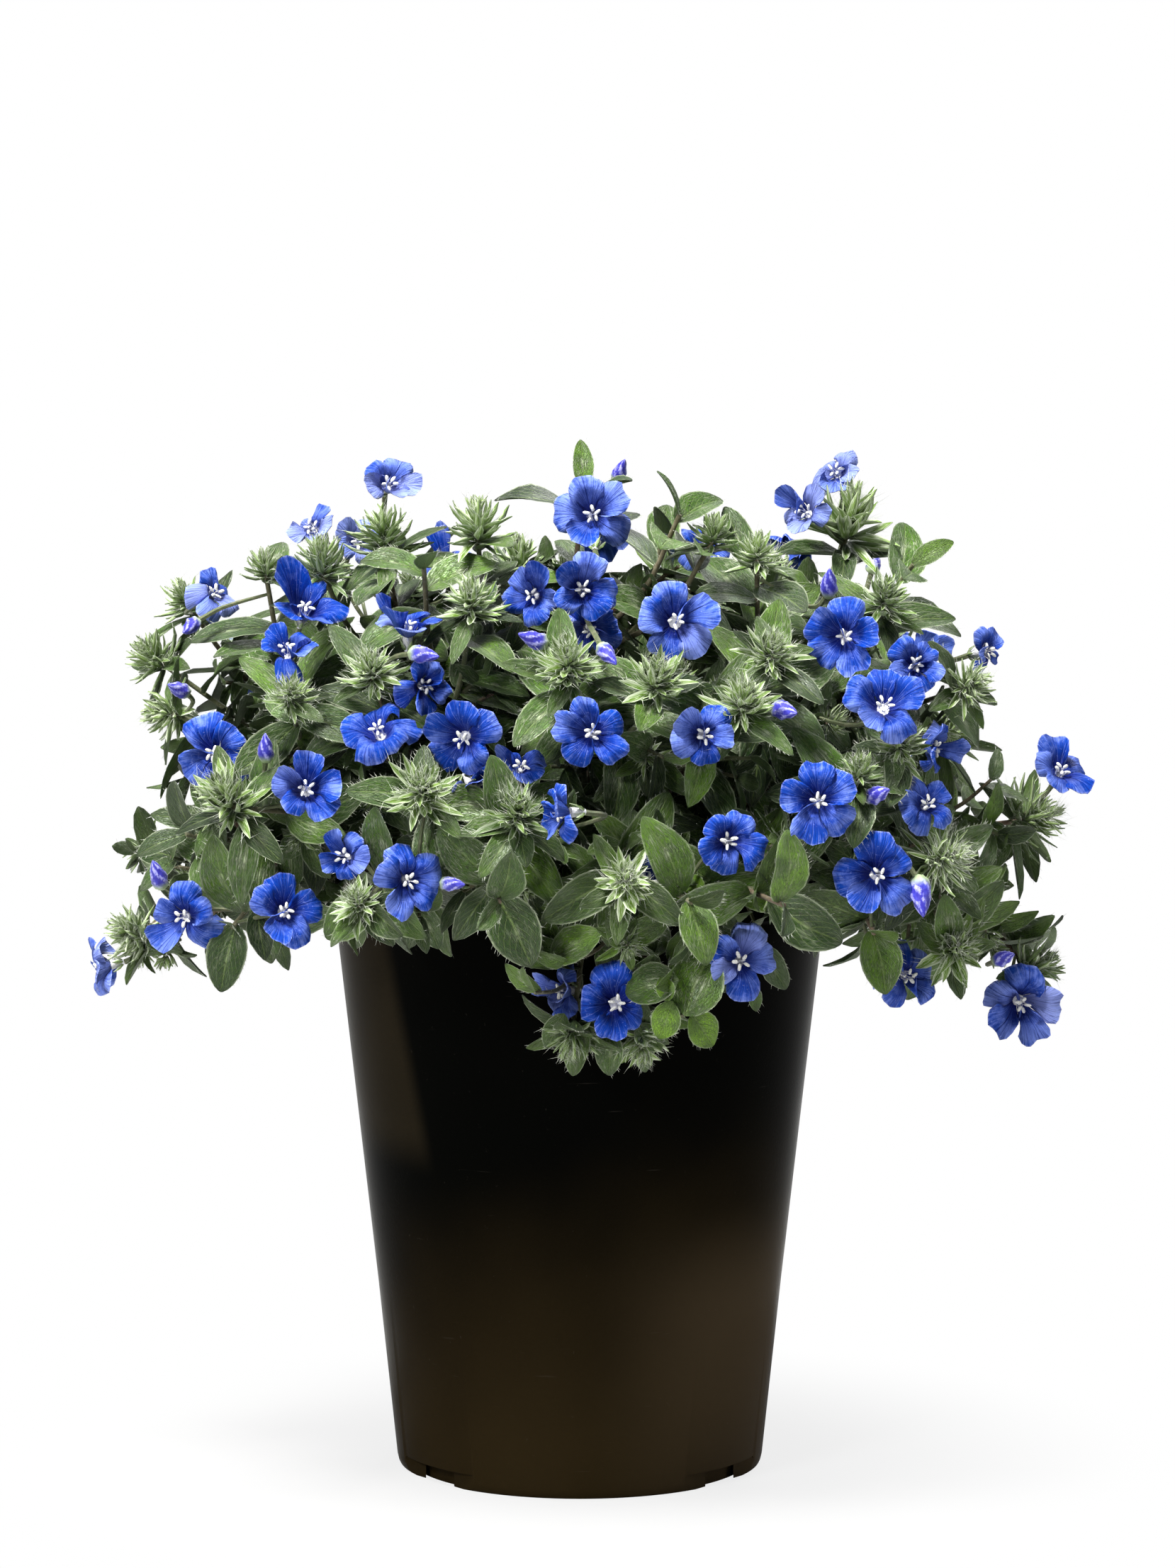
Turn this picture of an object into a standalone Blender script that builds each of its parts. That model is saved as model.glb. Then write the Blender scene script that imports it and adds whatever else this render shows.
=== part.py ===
"""Potted blue daze: a mound of leafy, flowering stems in a tall black nursery pot.

The pot stands on the table at the origin, with its axis on +Z, and the front of the plant faces -Y.
Every stem stands in a hole in the soil and carries its branches, leaves, bract heads and buds in one
solid. Open blooms are solids of their own, each seated on its calyx. A shoot, bloom or leaf that would
cross another stem is bent clear by the first of a few fixed moves that leaves it free.
"""

import math
import random
from dataclasses import dataclass

import bmesh
import bpy
from mathutils import Vector
from mathutils.bvhtree import BVHTree

MM = 0.001
GAP = 0.3 * MM

# The pot: a thin moulded wall with a rolled rim, and a floor raised on a ring inside a notched skirt.
POT_HEIGHT = 190 * MM
RIM_RADIUS = 82 * MM
RIM_DEPTH = 8 * MM
WALL_TOP_RADIUS = 79 * MM
SKIRT_RADIUS = 59 * MM
SKIRT_CHAMFER = 1.2 * MM
WALL = 1.8 * MM
FLOOR_UNDERSIDE = 6.5 * MM
FLOOR = 2 * MM
RING_OUTER_RADIUS = 55 * MM
RING_INNER_RADIUS = 51 * MM
TURN_STEPS = 24
NOTCH_AZIMUTHS = (-128, -52, 52, 128)
NOTCH_HEIGHT = 5.5 * MM
NOTCH_WIDTH = 40 * MM
NOTCH_SLOPE = 5 * MM

# The soil fills the pot to a little below the rim.
SOIL_TOP = 177 * MM
SOIL_DOME = 2 * MM
ROOT_DEPTH = 20 * MM
ROOT_HOLE_RADIUS = 2 * MM

# The plant. Places in the tables are millimetres right of the axis and above the table, as the eye
# sees them against the plane through the axis. A row then gives how far the thing stands out of the
# mound, which way it faces (degrees to the right, degrees up) and its size in millimetres.
EYE = Vector((0, -1600, 361)) * MM
MOUND_CENTRE_Z = 185 * MM
MOUND_RADII = Vector((165, 132, 145)) * MM
STEM_RADIUS = 1.4 * MM
TWIG_RADIUS = 1.05 * MM
STALK_RADIUS = 0.75 * MM
CALYX_RADIUS = 1.5 * MM
BLOOM_DEPTH = 8 * MM
BLOOM_SEGMENTS = 15
INNER_BLOOM_SEGMENTS = 10
LEAF_THICKNESS = 1.2 * MM
CLEARANCE = 0.25 * MM
GOLDEN_ANGLE = math.radians(137.5)

STEMS = {
    "left_low": {
        "side": 1,
        "root": (184, 34),
        "heads": ((-146, 173, -45, -60, 25, 16),),
        "tips": ((-127, 204, -30, -78, 8, 0), (-112, 174, -22, -20, -30, 0)),
        "blooms": (
            (-128, 177, -8, -15, -5, 24),
            (-155, 161, -45, -75, -10, 23),
            (-95, 179, -8, 15, 8, 23),
        ),
        "inner_blooms": (),
        "buds": ((-136, 191, -20, -30, 60, 11),),
    },
    "left_mid": {
        "side": 1,
        "root": (204, 26),
        "heads": (
            (-114, 217, 10, -30, 45, 20),
            (-135, 243, -20, -65, 5, 14),
            (-138, 262, -20, -55, 35, 15),
        ),
        "tips": (),
        "blooms": ((-118, 230, -8, -10, 5, 26), (-88, 219, 0, 5, 20, 25)),
        "inner_blooms": (),
        "buds": ((-129, 251, -8, -40, 20, 10), (-101, 232, 0, 0, 70, 10)),
    },
    "left_upper": {
        "side": 1,
        "root": (195, 16),
        "heads": (
            (-127, 281, -10, -40, 60, 14),
            (-101, 291, -6, -20, 75, 12),
            (-93, 250, 6, 8, 40, 12),
        ),
        "tips": (),
        "blooms": ((-88, 277, 0, 25, 50, 26), (-94, 264, 0, -10, 55, 20)),
        "inner_blooms": ((-117, 282, -14, 50, 25, 20),),
        "buds": ((-125, 271, 0, -25, -20, 10),),
    },
    "top_left": {
        "side": 1,
        "root": (222, 9),
        "heads": ((-63, 302, 0, -10, 80, 18), (-83, 293, 4, -15, 68, 17)),
        "tips": ((-50, 290, 4, 12, 60, 0),),
        "blooms": (),
        "inner_blooms": (
            (-61, 317, -4, 15, 25, 21),
            (-86, 303, -14, -35, 30, 18),
            (-71, 298, -16, 30, 20, 18),
            (-55, 271, 0, 10, 68, 20),
        ),
        "buds": (),
    },
    "centre_left_high": {
        "side": 1,
        "root": (241, 18),
        "heads": ((-67, 258, 2, -5, 50, 15), (-35, 281, 2, 0, 62, 15)),
        "tips": (),
        "blooms": ((-65, 238, 0, -20, 42, 27), (-50, 252, -6, 38, 0, 20)),
        "inner_blooms": (),
        "buds": ((-50, 262, 0, 60, -5, 11),),
    },
    "centre_left_low": {
        "side": 1,
        "root": (250, 33),
        "heads": (
            (-51, 219, 6, 0, 32, 17),
            (-72, 183, 0, -10, 40, 13),
            (-20, 212, 2, 5, 40, 16),
        ),
        "tips": ((-26, 182, -2, -5, -5, 0),),
        "blooms": (
            (-38, 235, 0, -18, -8, 24),
            (-55, 189, 2, 22, -4, 23),
        ),
        "inner_blooms": (
            (-6, 211, 0, -62, 0, 20),
            (-34, 219, -10, 25, -25, 16),
            (-76, 197, -8, -30, 10, 18),
            (-19, 226, -12, 10, 45, 18),
        ),
        "buds": ((-41, 188, 0, 60, 0, 9),),
    },
    "top_centre": {
        "side": 1,
        "root": (290, 6),
        "heads": ((-33, 305, 0, -5, 80, 17), (43, 302, -3, 20, 75, 13)),
        "tips": ((1, 316, -8, 0, 75, 0), (32, 307, 2, 8, 78, 0)),
        "blooms": (
            (4, 307, 4, 0, 10, 25),
            (1, 283, 4, 4, 8, 24),
            (-15, 281, -3, -22, 6, 22),
        ),
        "inner_blooms": ((3, 270, -4, 12, -15, 22),),
        "buds": ((13, 321, 2, 35, 55, 9), (9, 262, 4, 40, -35, 10)),
    },
    "centre": {
        "side": 1,
        "root": (283, 22),
        "heads": (
            (-4, 260, 6, -5, 42, 17),
            (25, 255, 6, 5, 45, 18),
            (53, 248, 4, 14, 45, 16),
        ),
        "tips": (),
        "blooms": (
            (31, 273, 2, 4, 10, 26),
            (4, 237, 4, 0, 8, 25),
            (40, 236, 0, 10, 4, 22),
        ),
        "inner_blooms": (),
        "buds": ((-15, 267, 4, -60, 20, 11), (66, 244, 2, 35, -5, 12)),
    },
    "top_right": {
        "side": 1,
        "root": (342, 11),
        "heads": ((87, 307, 0, 25, 68, 24), (57, 296, 0, 8, 72, 13)),
        "tips": ((107, 291, 0, 25, 50, 0),),
        "blooms": ((82, 321, -8, -20, 35, 21),),
        "inner_blooms": ((72, 308, -8, -30, 20, 18),),
        "buds": ((80, 285, 4, 0, 60, 11),),
    },
    "right_upper": {
        "side": 1,
        "root": (320, 20),
        "heads": (
            (98, 281, 4, 15, 50, 15),
            (127, 253, -6, 45, 25, 14),
            (62, 264, 2, 8, 45, 15),
        ),
        "tips": (),
        "blooms": (
            (85, 268, 2, -5, 4, 25),
            (98, 246, 4, 5, 28, 25),
        ),
        "inner_blooms": ((108, 259, 0, 5, 15, 20), (131, 263, -28, 50, 10, 16)),
        "buds": (),
    },
    "right_mid": {
        "side": 1,
        "root": (330, 30),
        "heads": (
            (104, 234, 2, 20, 40, 14),
            (90, 225, 2, 5, 55, 12),
            (119, 197, 0, 35, 18, 17),
            (148, 210, -38, 62, 18, 19),
        ),
        "tips": (),
        "blooms": (
            (77, 215, 4, 0, 5, 27),
            (155, 225, -30, 20, 40, 24),
        ),
        "inner_blooms": ((112, 214, 0, 18, 25, 20), (114, 232, -14, 62, -10, 20)),
        "buds": ((96, 217, 4, 40, 20, 11),),
    },
    "right_low": {
        "side": 1,
        "root": (353, 34),
        "heads": ((149, 162, -42, 58, 32, 15), (122, 167, -14, 15, 12, 16)),
        "tips": ((95, 172, -20, 15, -30, 0),),
        "blooms": (
            (96, 191, 0, 5, 5, 26),
            (106, 158, -26, 32, -8, 23),
            (143, 149, -40, 15, -12, 25),
        ),
        "inner_blooms": (),
        "buds": ((110, 184, 4, 10, -60, 14), (137, 164, -36, 40, 20, 10)),
    },
    "low_centre": {
        "side": 1,
        "root": (280, 36),
        "heads": (
            (15, 190, 0, 5, 22, 15),
            (-3, 136, -30, -12, -50, 14),
            (20, 135, -32, 8, -50, 14),
        ),
        "tips": ((36, 182, -6, 5, 5, 0), (66, 181, -2, 18, -5, 0)),
        "blooms": (
            (48, 202, 0, 14, 8, 23),
            (52, 163, -22, 10, 8, 25),
            (12, 149, -32, 6, 4, 25),
        ),
        "inner_blooms": ((22, 189, -12, 20, 0, 19), (-6, 153, -36, -45, 0, 20)),
        "buds": (),
    },
    "crown": {
        "side": 1,
        "root": (20, 6),
        "heads": ((-20, 294, -83, -5, 78, 16), (60, 290, -97, 20, 72, 16)),
        "tips": ((26, 297, -81, 5, 78, 0), (-60, 286, -100, -25, 70, 0)),
        "blooms": (),
        "inner_blooms": ((-42, 292, -84, -10, 60, 22), (40, 295, -80, 5, 60, 22)),
        "buds": (),
    },
    "back_left": {
        "side": -1,
        "root": (38, 26),
        "heads": ((-132, 228, -4, -50, 35, 16), (-92, 270, 2, -20, 60, 16)),
        "tips": ((-104, 196, 0, -40, 10, 0),),
        "blooms": (
            (-118, 254, 0, -40, 25, 24),
            (-84, 232, 2, -18, 15, 26),
            (-124, 204, -2, -45, 0, 24),
        ),
        "inner_blooms": ((-72, 290, -4, -10, 45, 21),),
        "buds": ((-100, 288, 0, -20, 60, 10),),
    },
    "back_middle": {
        "side": -1,
        "root": (86, 30),
        "heads": ((-34, 226, 4, -10, 35, 17), (26, 208, 4, 10, 25, 16)),
        "tips": ((-6, 178, -6, 0, 0, 0),),
        "blooms": (
            (-10, 246, 2, -5, 15, 26),
            (48, 226, 2, 15, 10, 25),
            (-42, 196, 4, -8, 0, 24),
        ),
        "inner_blooms": ((2, 220, -6, 10, 30, 19),),
        "buds": ((-58, 214, 2, -30, 20, 11),),
    },
    "back_right": {
        "side": -1,
        "root": (138, 26),
        "heads": ((128, 222, -6, 50, 30, 16), (94, 260, 2, 25, 55, 16)),
        "tips": ((92, 192, 0, 30, 10, 0),),
        "blooms": (
            (114, 244, 0, 35, 20, 25),
            (118, 198, -4, 35, 0, 24),
            (74, 236, 2, 15, 20, 24),
        ),
        "inner_blooms": ((64, 196, -4, 15, -5, 20),),
        "buds": ((120, 262, -4, 40, 50, 10),),
    },
    "back_top": {
        "side": -1,
        "root": (92, 12),
        "heads": ((-30, 284, 2, -10, 70, 17), (24, 274, 2, 5, 55, 17)),
        "tips": ((62, 286, -4, 15, 70, 0),),
        "blooms": ((-6, 294, 2, -5, 40, 25), (44, 256, 2, 12, 25, 26)),
        "inner_blooms": ((-52, 258, 0, -15, 30, 22),),
        "buds": ((4, 258, 2, 0, 40, 11),),
    },
}

# Leaves below a shoot's tip: distance down the twig, length, width and angle from the twig.
HEAD_LEAVES = (
    (4, 22, 10, 62),
    (11, 27, 13.5, 70),
    (20, 29, 15, 78),
    (31, 28, 14.5, 84),
)
TIP_LEAVES = (
    (0.8, 16, 8, 25),
    (3, 21, 13, 52),
    (9, 27, 16, 64),
    (18, 29, 16, 74),
    (30, 27, 15, 82),
)
SIGHT_MOVES = (0, 3, -3, 6, -6, 9, -9, 12, -12, 16, -16, 20)
# A stem's ways: how much higher it rises, and how many joints further up or down its branches fork.
ROUTE_MOVES = ((0, 0), (8, 0), (0, -1), (-6, 1), (16, 0), (8, 1), (24, -1), (34, 0), (12, 1), (-12, 0))
LEAF_MOVES = (
    (0, 0, 1),
    (28, 0, 1),
    (-28, 0, 1),
    (0, -22, 1),
    (55, 0, 1),
    (-55, 0, 1),
    (0, 20, 0.85),
    (85, -10, 0.85),
    (-85, -10, 0.85),
    (0, -30, 0.75),
    (130, 0, 0.75),
    (180, -15, 0.75),
)


def facing(turn, lift, side):
    """The direction that is turned this far to the viewer's right and lifted this far, in degrees."""
    turn, lift = math.radians(turn), math.radians(lift)
    level = math.cos(lift)
    return Vector((side * math.sin(turn) * level, -side * math.cos(turn) * level, math.sin(lift)))


def seen_at(x, z, forward, side):
    """The point this far in front of the axis on the line of sight through (x, z)."""
    eye = Vector((0, -EYE.y, EYE.z))
    aim = Vector((x, 0, z))
    point = eye.lerp(aim, 1 - forward / eye.y)
    return Vector((side * point.x, -side * point.y, point.z))


def mound_depth(x, z):
    """How far in front of the axis the line of sight through (x, z) meets the mound."""
    forward = 0.0
    for _ in range(6):
        point = seen_at(x, z, forward, 1)
        across = (point.x / MOUND_RADII.x) ** 2 + ((point.z - MOUND_CENTRE_Z) / MOUND_RADII.z) ** 2
        forward = MOUND_RADII.y * math.sqrt(max(0.0, 1 - across))
    return forward


def places(row, side):
    """A row's place on the mound, and the same place moved along the line of sight."""
    x, z, out = row[0] * MM, row[1] * MM, row[2] * MM
    return [seen_at(x, z, mound_depth(x, z) + out + move * MM, side) for move in SIGHT_MOVES]


def axes_about(direction, up_hint=Vector((0, 0, 1))):
    """Two unit vectors across a direction: one level and to its side, one over it."""
    side = direction.cross(up_hint)
    if side.length < 1e-3:
        side = direction.cross(Vector((0, 1, 0)))
    side.normalize()
    return side, side.cross(direction)


def bezier(points, steps):
    """Points along a cubic curve with these four control points."""
    a, b, c, d = points
    made = []
    for i in range(steps + 1):
        t = i / steps
        s = 1 - t
        made.append(a * s**3 + b * (3 * s * s * t) + c * (3 * s * t * t) + d * t**3)
    return made


def below_tip(route, distance):
    """The point this far back from the end of a route, and the direction of growth there."""
    if distance <= 0:
        direction = (route[-1] - route[-2]).normalized()
        return route[-1] - direction * distance, direction
    for end, start in zip(route[::-1], route[-2::-1]):
        step = (end - start).length
        if step >= distance:
            return end.lerp(start, distance / step), (end - start).normalized()
        distance -= step
    return route[0], (route[1] - route[0]).normalized()


@dataclass
class Leaf:
    """One leaf: its base, the way that it points, its upper face, size, bend and fold."""

    base: Vector
    along: Vector
    normal: Vector
    length: float
    width: float
    droop: float
    fold: float

    def point(self, t, across, up, thickness=LEAF_THICKNESS):
        """t runs from base to tip, across from edge to edge, up from the lower face to the upper."""
        half = self.width / 2 * max(0.0, math.sin(math.pi * t**0.88)) ** 0.75
        turn = self.droop * t / 2
        sideways = self.along.cross(self.normal)
        middle = self.along * math.cos(turn) - self.normal * math.sin(turn)
        over = self.normal * math.cos(turn * 2) + self.along * math.sin(turn * 2)
        rise = self.fold * abs(across) * half + up * thickness / 2
        return self.base + middle * (self.length * t) + sideways * (across * half) + over * rise


@dataclass
class Bloom:
    """One open bloom: the middle of its face, the way that it faces, its radius and how cupped it is."""

    centre: Vector
    face: Vector
    radius: float
    cup: float
    roll: float

    def foot(self):
        return self.centre - self.face * BLOOM_DEPTH

    def rim(self, angle):
        """The edge of the petals, five lobes joined at shallow notches."""
        side, over = axes_about(self.face)
        lobe = 0.8 + 0.2 * abs(math.sin(2.5 * angle)) ** 0.6
        out = side * math.cos(angle + self.roll) + over * math.sin(angle + self.roll)
        reach = self.radius * lobe
        return self.centre + out * (reach * math.cos(self.cup)) + self.face * (reach * math.sin(self.cup))


def leaf_choices(label, route, row, phase):
    """A leaf on a twig, and the ways that it may be bent to clear its neighbours."""
    draw = random.Random(label)
    distance, length, width, spread = row
    base, growth = below_tip(route, distance * MM)
    side, over = axes_about(growth, Vector((0.1, 0.05, 1)))
    phase += draw.uniform(-0.3, 0.3)
    length *= draw.uniform(0.88, 1.12)
    width *= draw.uniform(0.88, 1.15)
    spread += draw.uniform(-9, 9)
    droop = math.radians(draw.uniform(12, 48))
    fold = draw.uniform(0.1, 0.35)
    made = []
    for turn, tilt, share in LEAF_MOVES:
        around = phase + math.radians(turn)
        angle = math.radians(spread + tilt)
        out = side * math.cos(around) + over * math.sin(around)
        along = growth * math.cos(angle) + out * math.sin(angle)
        normal = growth * math.sin(angle) - out * math.cos(angle)
        made.append(Leaf(base, along, normal, length * share * MM, width * share * MM, droop, fold))
    return made


def stem_route(root, tip, direction, lift):
    """From the soil straight up, then over the rim where the tip is outside it, to the tip."""
    start = Vector((root.x, root.y, SOIL_TOP + 5 * MM))
    span = (tip - start).length
    rise = start + Vector((0, 0, 0.28 * span + lift * MM))
    lead = tip - direction * (0.38 * span)
    if math.hypot(tip.x, tip.y) > RIM_RADIUS * 0.9:
        lead.z = max(lead.z, POT_HEIGHT + 0.2 * span + lift * MM)
    return bezier((start, rise, lead, tip), 5)


def twig_route(stem, joint, tip, direction, lift):
    """A side branch from a joint of its stem, which bends from the stem's direction to its own."""
    joint = min(len(stem) - 2, max(1, joint))
    start = stem[joint]
    span = (tip - start).length
    growth = (stem[joint + 1] - stem[joint - 1]).normalized() + (tip - start).normalized()
    lead = tip - direction * (0.4 * span)
    if math.hypot(tip.x, tip.y) > RIM_RADIUS * 0.9:
        lead.z = max(lead.z, POT_HEIGHT + 0.1 * span + lift * MM)
    return bezier((start, start + growth * (0.14 * span), lead, tip), 3)


def stalk_choices(foot, face, routes):
    """Flower stalks from the places on its own stem that are nearest to a flower's foot."""
    spots = [below_tip(route, distance * MM)[0] for route in routes for distance in range(3, 100, 4)]
    spots.sort(key=lambda spot: (spot - foot).length)
    made = []
    for spot in spots[:30]:
        if (foot - spot).dot(face) > 0:
            elbow = foot - face * (0.35 * (spot - foot).length)
            made.append((spot, elbow.lerp(spot, 0.25), foot))
    return made


class Plan:
    """The whole plant as places and sizes, with no solids yet.

    space.takes(kind, owner, thing) says whether a thing may stand where it is put, and then keeps
    it there. space.drop() takes the last one away again.
    """

    def __init__(self, space):
        self.space = space
        self.stems = {}
        for name in STEMS:
            self.stems[name] = {"heads": [], "routes": [], "stalks": [], "buds": [], "leaves": []}
        self.blooms = []
        steps = (self.place_heads, self.place_routes, self.place_blooms, self.place_buds, self.place_leaves)
        for step in steps:
            for name, rows in STEMS.items():
                step(name, self.stems[name], rows)

    def first(self, kind, owner, choices):
        return next((thing for thing in choices if self.space.takes(kind, owner, thing)), None)

    def first_with_stalk(self, kind, owner, choices, stem_name):
        """The first choice that is clear and within reach of a clear stalk, from (thing, foot, face)."""
        stem = self.stems[stem_name]
        for thing, foot, face in choices:
            if self.space.takes(kind, owner, thing):
                stalk = self.first("stalk", stem_name, stalk_choices(foot, face, stem["routes"]))
                if stalk:
                    stem["stalks"].append(stalk)
                    return thing
                self.space.drop()
        return None

    def place_heads(self, name, stem, rows):
        for row in rows["heads"] + rows["tips"]:
            direction = facing(row[3], row[4], rows["side"])
            options = [(at, direction, row[5] * MM) for at in places(row, rows["side"])]
            head = self.first("head", name, options) if row[5] else options[0]
            if head:
                stem["heads"].append(head)

    def place_routes(self, name, stem, rows):
        """The first head's route is the stem, and the others fork from it. One with no way is left out."""
        azimuth, radius = math.radians(rows["root"][0]), rows["root"][1] * MM
        root = Vector((radius * math.cos(azimuth), radius * math.sin(azimuth), SOIL_TOP - ROOT_DEPTH))
        stem["root"] = root
        reached = []
        for at, direction, length in stem["heads"]:
            tip = at - direction * (length * 0.3)
            if stem["routes"]:
                joint = 3 - (len(stem["routes"]) + 1) % 2
                options = [
                    twig_route(stem["routes"][0], joint + shift, tip, direction, lift)
                    for lift, shift in ROUTE_MOVES
                ]
            else:
                options = [stem_route(root, tip, direction, lift) for lift, _ in ROUTE_MOVES]
            route = self.first("route", name, options)
            if route:
                stem["routes"].append(route)
                reached.append((at, direction, length))
        stem["heads"] = reached

    def place_blooms(self, name, stem, rows):
        for group in ("blooms", "inner_blooms"):
            inner = group == "inner_blooms"
            for number, row in enumerate(rows[group]):
                draw = random.Random(f"{name} {group} {number}")
                cup, roll = math.radians(draw.uniform(4, 22)), draw.uniform(0, 1.2)
                face = facing(row[3], row[4], rows["side"])
                owner = name if inner else f"bloom_{name}_{number + 1}"
                sink = 1.5 * MM if inner else -GAP
                options = []
                for at in places(row, rows["side"]):
                    bloom = Bloom(at, face, row[5] / 2 * MM, cup, roll)
                    options.append((bloom, bloom.foot() + face * sink, face))
                bloom = self.first_with_stalk("bloom", owner, options, name)
                if bloom:
                    self.blooms.append({"owner": owner, "stem": name, "bloom": bloom})

    def place_buds(self, name, stem, rows):
        for row in rows["buds"]:
            direction, length = facing(row[3], row[4], rows["side"]), row[5] * MM
            options = []
            for at in places(row, rows["side"]):
                options.append(((at, direction, length), at - direction * (length * 0.35), direction))
            bud = self.first_with_stalk("bud", name, options, name)
            if bud:
                stem["buds"].append(bud)

    def place_leaves(self, name, stem, rows):
        for number, (route, head) in enumerate(zip(stem["routes"], stem["heads"])):
            start = random.Random(f"{name} {number}").uniform(0, math.tau)
            for index, row in enumerate(HEAD_LEAVES if head[2] else TIP_LEAVES):
                options = leaf_choices(f"{name} {number} {index}", route, row, start + index * GOLDEN_ANGLE)
                leaf = self.first("leaf", name, options)
                if leaf:
                    stem["leaves"].append(leaf)


def ball_grid(segments, rings):
    """A UV sphere's faces, and the ring and segment that each of its vertices is on."""
    bm = bmesh.new()
    bmesh.ops.create_uvsphere(bm, u_segments=segments, v_segments=rings, radius=1)
    spots = []
    for vert in bm.verts:
        ring = round(math.acos(max(-1.0, min(1.0, vert.co.z))) / math.pi * rings)
        segment = round(math.atan2(vert.co.y, vert.co.x) / math.tau * segments) % segments
        spots.append((ring, segment))
    faces = [[vert.index for vert in face.verts] for face in bm.faces]
    bm.free()
    return spots, faces


GRIDS = {(3, 3): ball_grid(3, 3)}
LEAF_ROOT = GRIDS[3, 3][0].index((0, 0))


def reshaped_ball(segments, rings, place):
    """A UV sphere with each vertex moved to place(ring, segment). Ring 0 and the last are its poles."""
    if (segments, rings) not in GRIDS:
        GRIDS[segments, rings] = ball_grid(segments, rings)
    spots, faces = GRIDS[segments, rings]
    return [place(*spot) for spot in spots], faces


def rod_section():
    """The three-sided section, 1 mm in radius, that every stem and stalk is swept with."""
    section = bpy.data.curves.new("rod_section", "CURVE")
    section.dimensions = "2D"
    spline = section.splines.new("POLY")
    spline.points.add(2)
    for index, corner in enumerate(spline.points):
        angle = -math.tau * index / 3
        corner.co = (math.cos(angle) * MM, math.sin(angle) * MM, 0, 1)
    spline.use_cyclic_u = True
    made = bpy.data.objects.new("rod_section", section)
    made.hide_render = True
    bpy.context.scene.collection.objects.link(made)
    return made


def rod(points, radii):
    """A three-sided rod through these points, made as a bevelled curve with its caps welded on."""
    section = bpy.data.objects.get("rod_section") or rod_section()
    curve = bpy.data.curves.new("rod", "CURVE")
    curve.dimensions = "3D"
    curve.bevel_mode = "OBJECT"
    curve.bevel_object = section
    curve.use_fill_caps = True
    spline = curve.splines.new("POLY")
    spline.points.add(len(points) - 1)
    for knot, point, radius in zip(spline.points, points, radii):
        knot.co = (*point, 1)
        knot.radius = radius / MM
    made = bpy.data.objects.new("rod", curve)
    bpy.context.scene.collection.objects.link(made)
    graph = bpy.context.evaluated_depsgraph_get()
    mesh = bpy.data.meshes.new_from_object(made.evaluated_get(graph))
    bm = bmesh.new()
    bm.from_mesh(mesh)
    bmesh.ops.remove_doubles(bm, verts=bm.verts, dist=0.00001)
    bmesh.ops.triangulate(bm, faces=bm.faces)
    bmesh.ops.recalc_face_normals(bm, faces=bm.faces)
    bm.verts.index_update()
    points = [vert.co.copy() for vert in bm.verts]
    faces = [[vert.index for vert in face.verts] for face in bm.faces]
    bm.free()
    bpy.data.objects.remove(made)
    bpy.data.curves.remove(curve)
    bpy.data.meshes.remove(mesh)
    return points, faces


def stem_mesh(route, root, radius, end_radius):
    """A stem along its route, with its root straight down in the soil where it has one."""
    points = ([root] if root else []) + list(route)
    last = len(points) - 1
    return rod(points, [radius + (end_radius - radius) * index / last for index in range(last + 1)])


def stalk_mesh(route):
    """A thin flower stalk that widens into the calyx at its end."""
    return rod(route, (STALK_RADIUS, STALK_RADIUS, CALYX_RADIUS))


def leaf_mesh(leaf):
    """An arched blade, sharp at its raised edges and thickest along the midrib on its lower side."""
    corners = ((1, 1), (-1, 1), (0, -1))
    return reshaped_ball(3, 3, lambda ring, segment: leaf.point(ring / 3, *corners[segment]))


def head_mesh(at, direction, length):
    """A bract head: a core whose bracts stand out of it, the lowest ones widest."""
    side, over = axes_about(direction)
    core = (0, 0.15, 0.12, 0)
    spread = (0, 0.46, 0.32, 0)

    def place(ring, segment):
        bract = (ring + segment) % 2
        angle = math.tau * segment / 6
        out = side * math.cos(angle) + over * math.sin(angle)
        reach = spread[ring] if bract else core[ring]
        along = ring / 3 - 0.5 + (0.15 if bract else 0)
        return at + direction * (length * along) + out * (length * reach)

    return reshaped_ball(6, 3, place)


def bud_mesh(at, direction, length):
    """A closed bud, drawn out to a point."""
    side, over = axes_about(direction)
    radius = (0, 0.2, 0.17, 0)

    def place(ring, segment):
        angle = math.tau * segment / 4
        out = side * math.cos(angle) + over * math.sin(angle)
        return at + direction * (length * (ring / 3 - 0.5)) + out * (length * radius[ring])

    return reshaped_ball(4, 3, place)


def bloom_mesh(bloom, segments):
    """Five joined petals in a shallow funnel that narrows to a foot behind."""
    side, over = axes_about(bloom.face)

    def place(ring, segment):
        angle = math.tau * segment / segments
        turn = angle + bloom.roll
        if ring == 0:
            return bloom.foot()
        if ring == 1:
            return bloom.rim(angle)
        if ring == 2:
            out = side * math.cos(turn) + over * math.sin(turn)
            return bloom.centre + out * (bloom.radius * 0.3) - bloom.face * MM
        return bloom.centre - bloom.face * (3 * MM)

    return reshaped_ball(segments, 3, place)


def mesh_of(kind, thing):
    """The solid that stands for a thing while it is being placed."""
    if kind == "route":
        return stem_mesh(thing, None, STEM_RADIUS, TWIG_RADIUS)
    if kind == "stalk":
        return stalk_mesh(thing)
    if kind == "leaf":
        return leaf_mesh(thing)
    if kind == "head":
        return head_mesh(*thing)
    if kind == "bud":
        return bud_mesh(*thing)
    return bloom_mesh(thing, BLOOM_SEGMENTS)


def in_pot(point):
    """Whether a point is in the pot's wall or soil, or too close to them."""
    radius = math.hypot(point.x, point.y)
    clear_of_soil = radius < WALL_TOP_RADIUS - 2.5 * MM and point.z > SOIL_TOP + SOIL_DOME + 0.5 * MM
    return point.z < POT_HEIGHT + 0.5 * MM and radius < RIM_RADIUS + MM and not clear_of_soil


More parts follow.
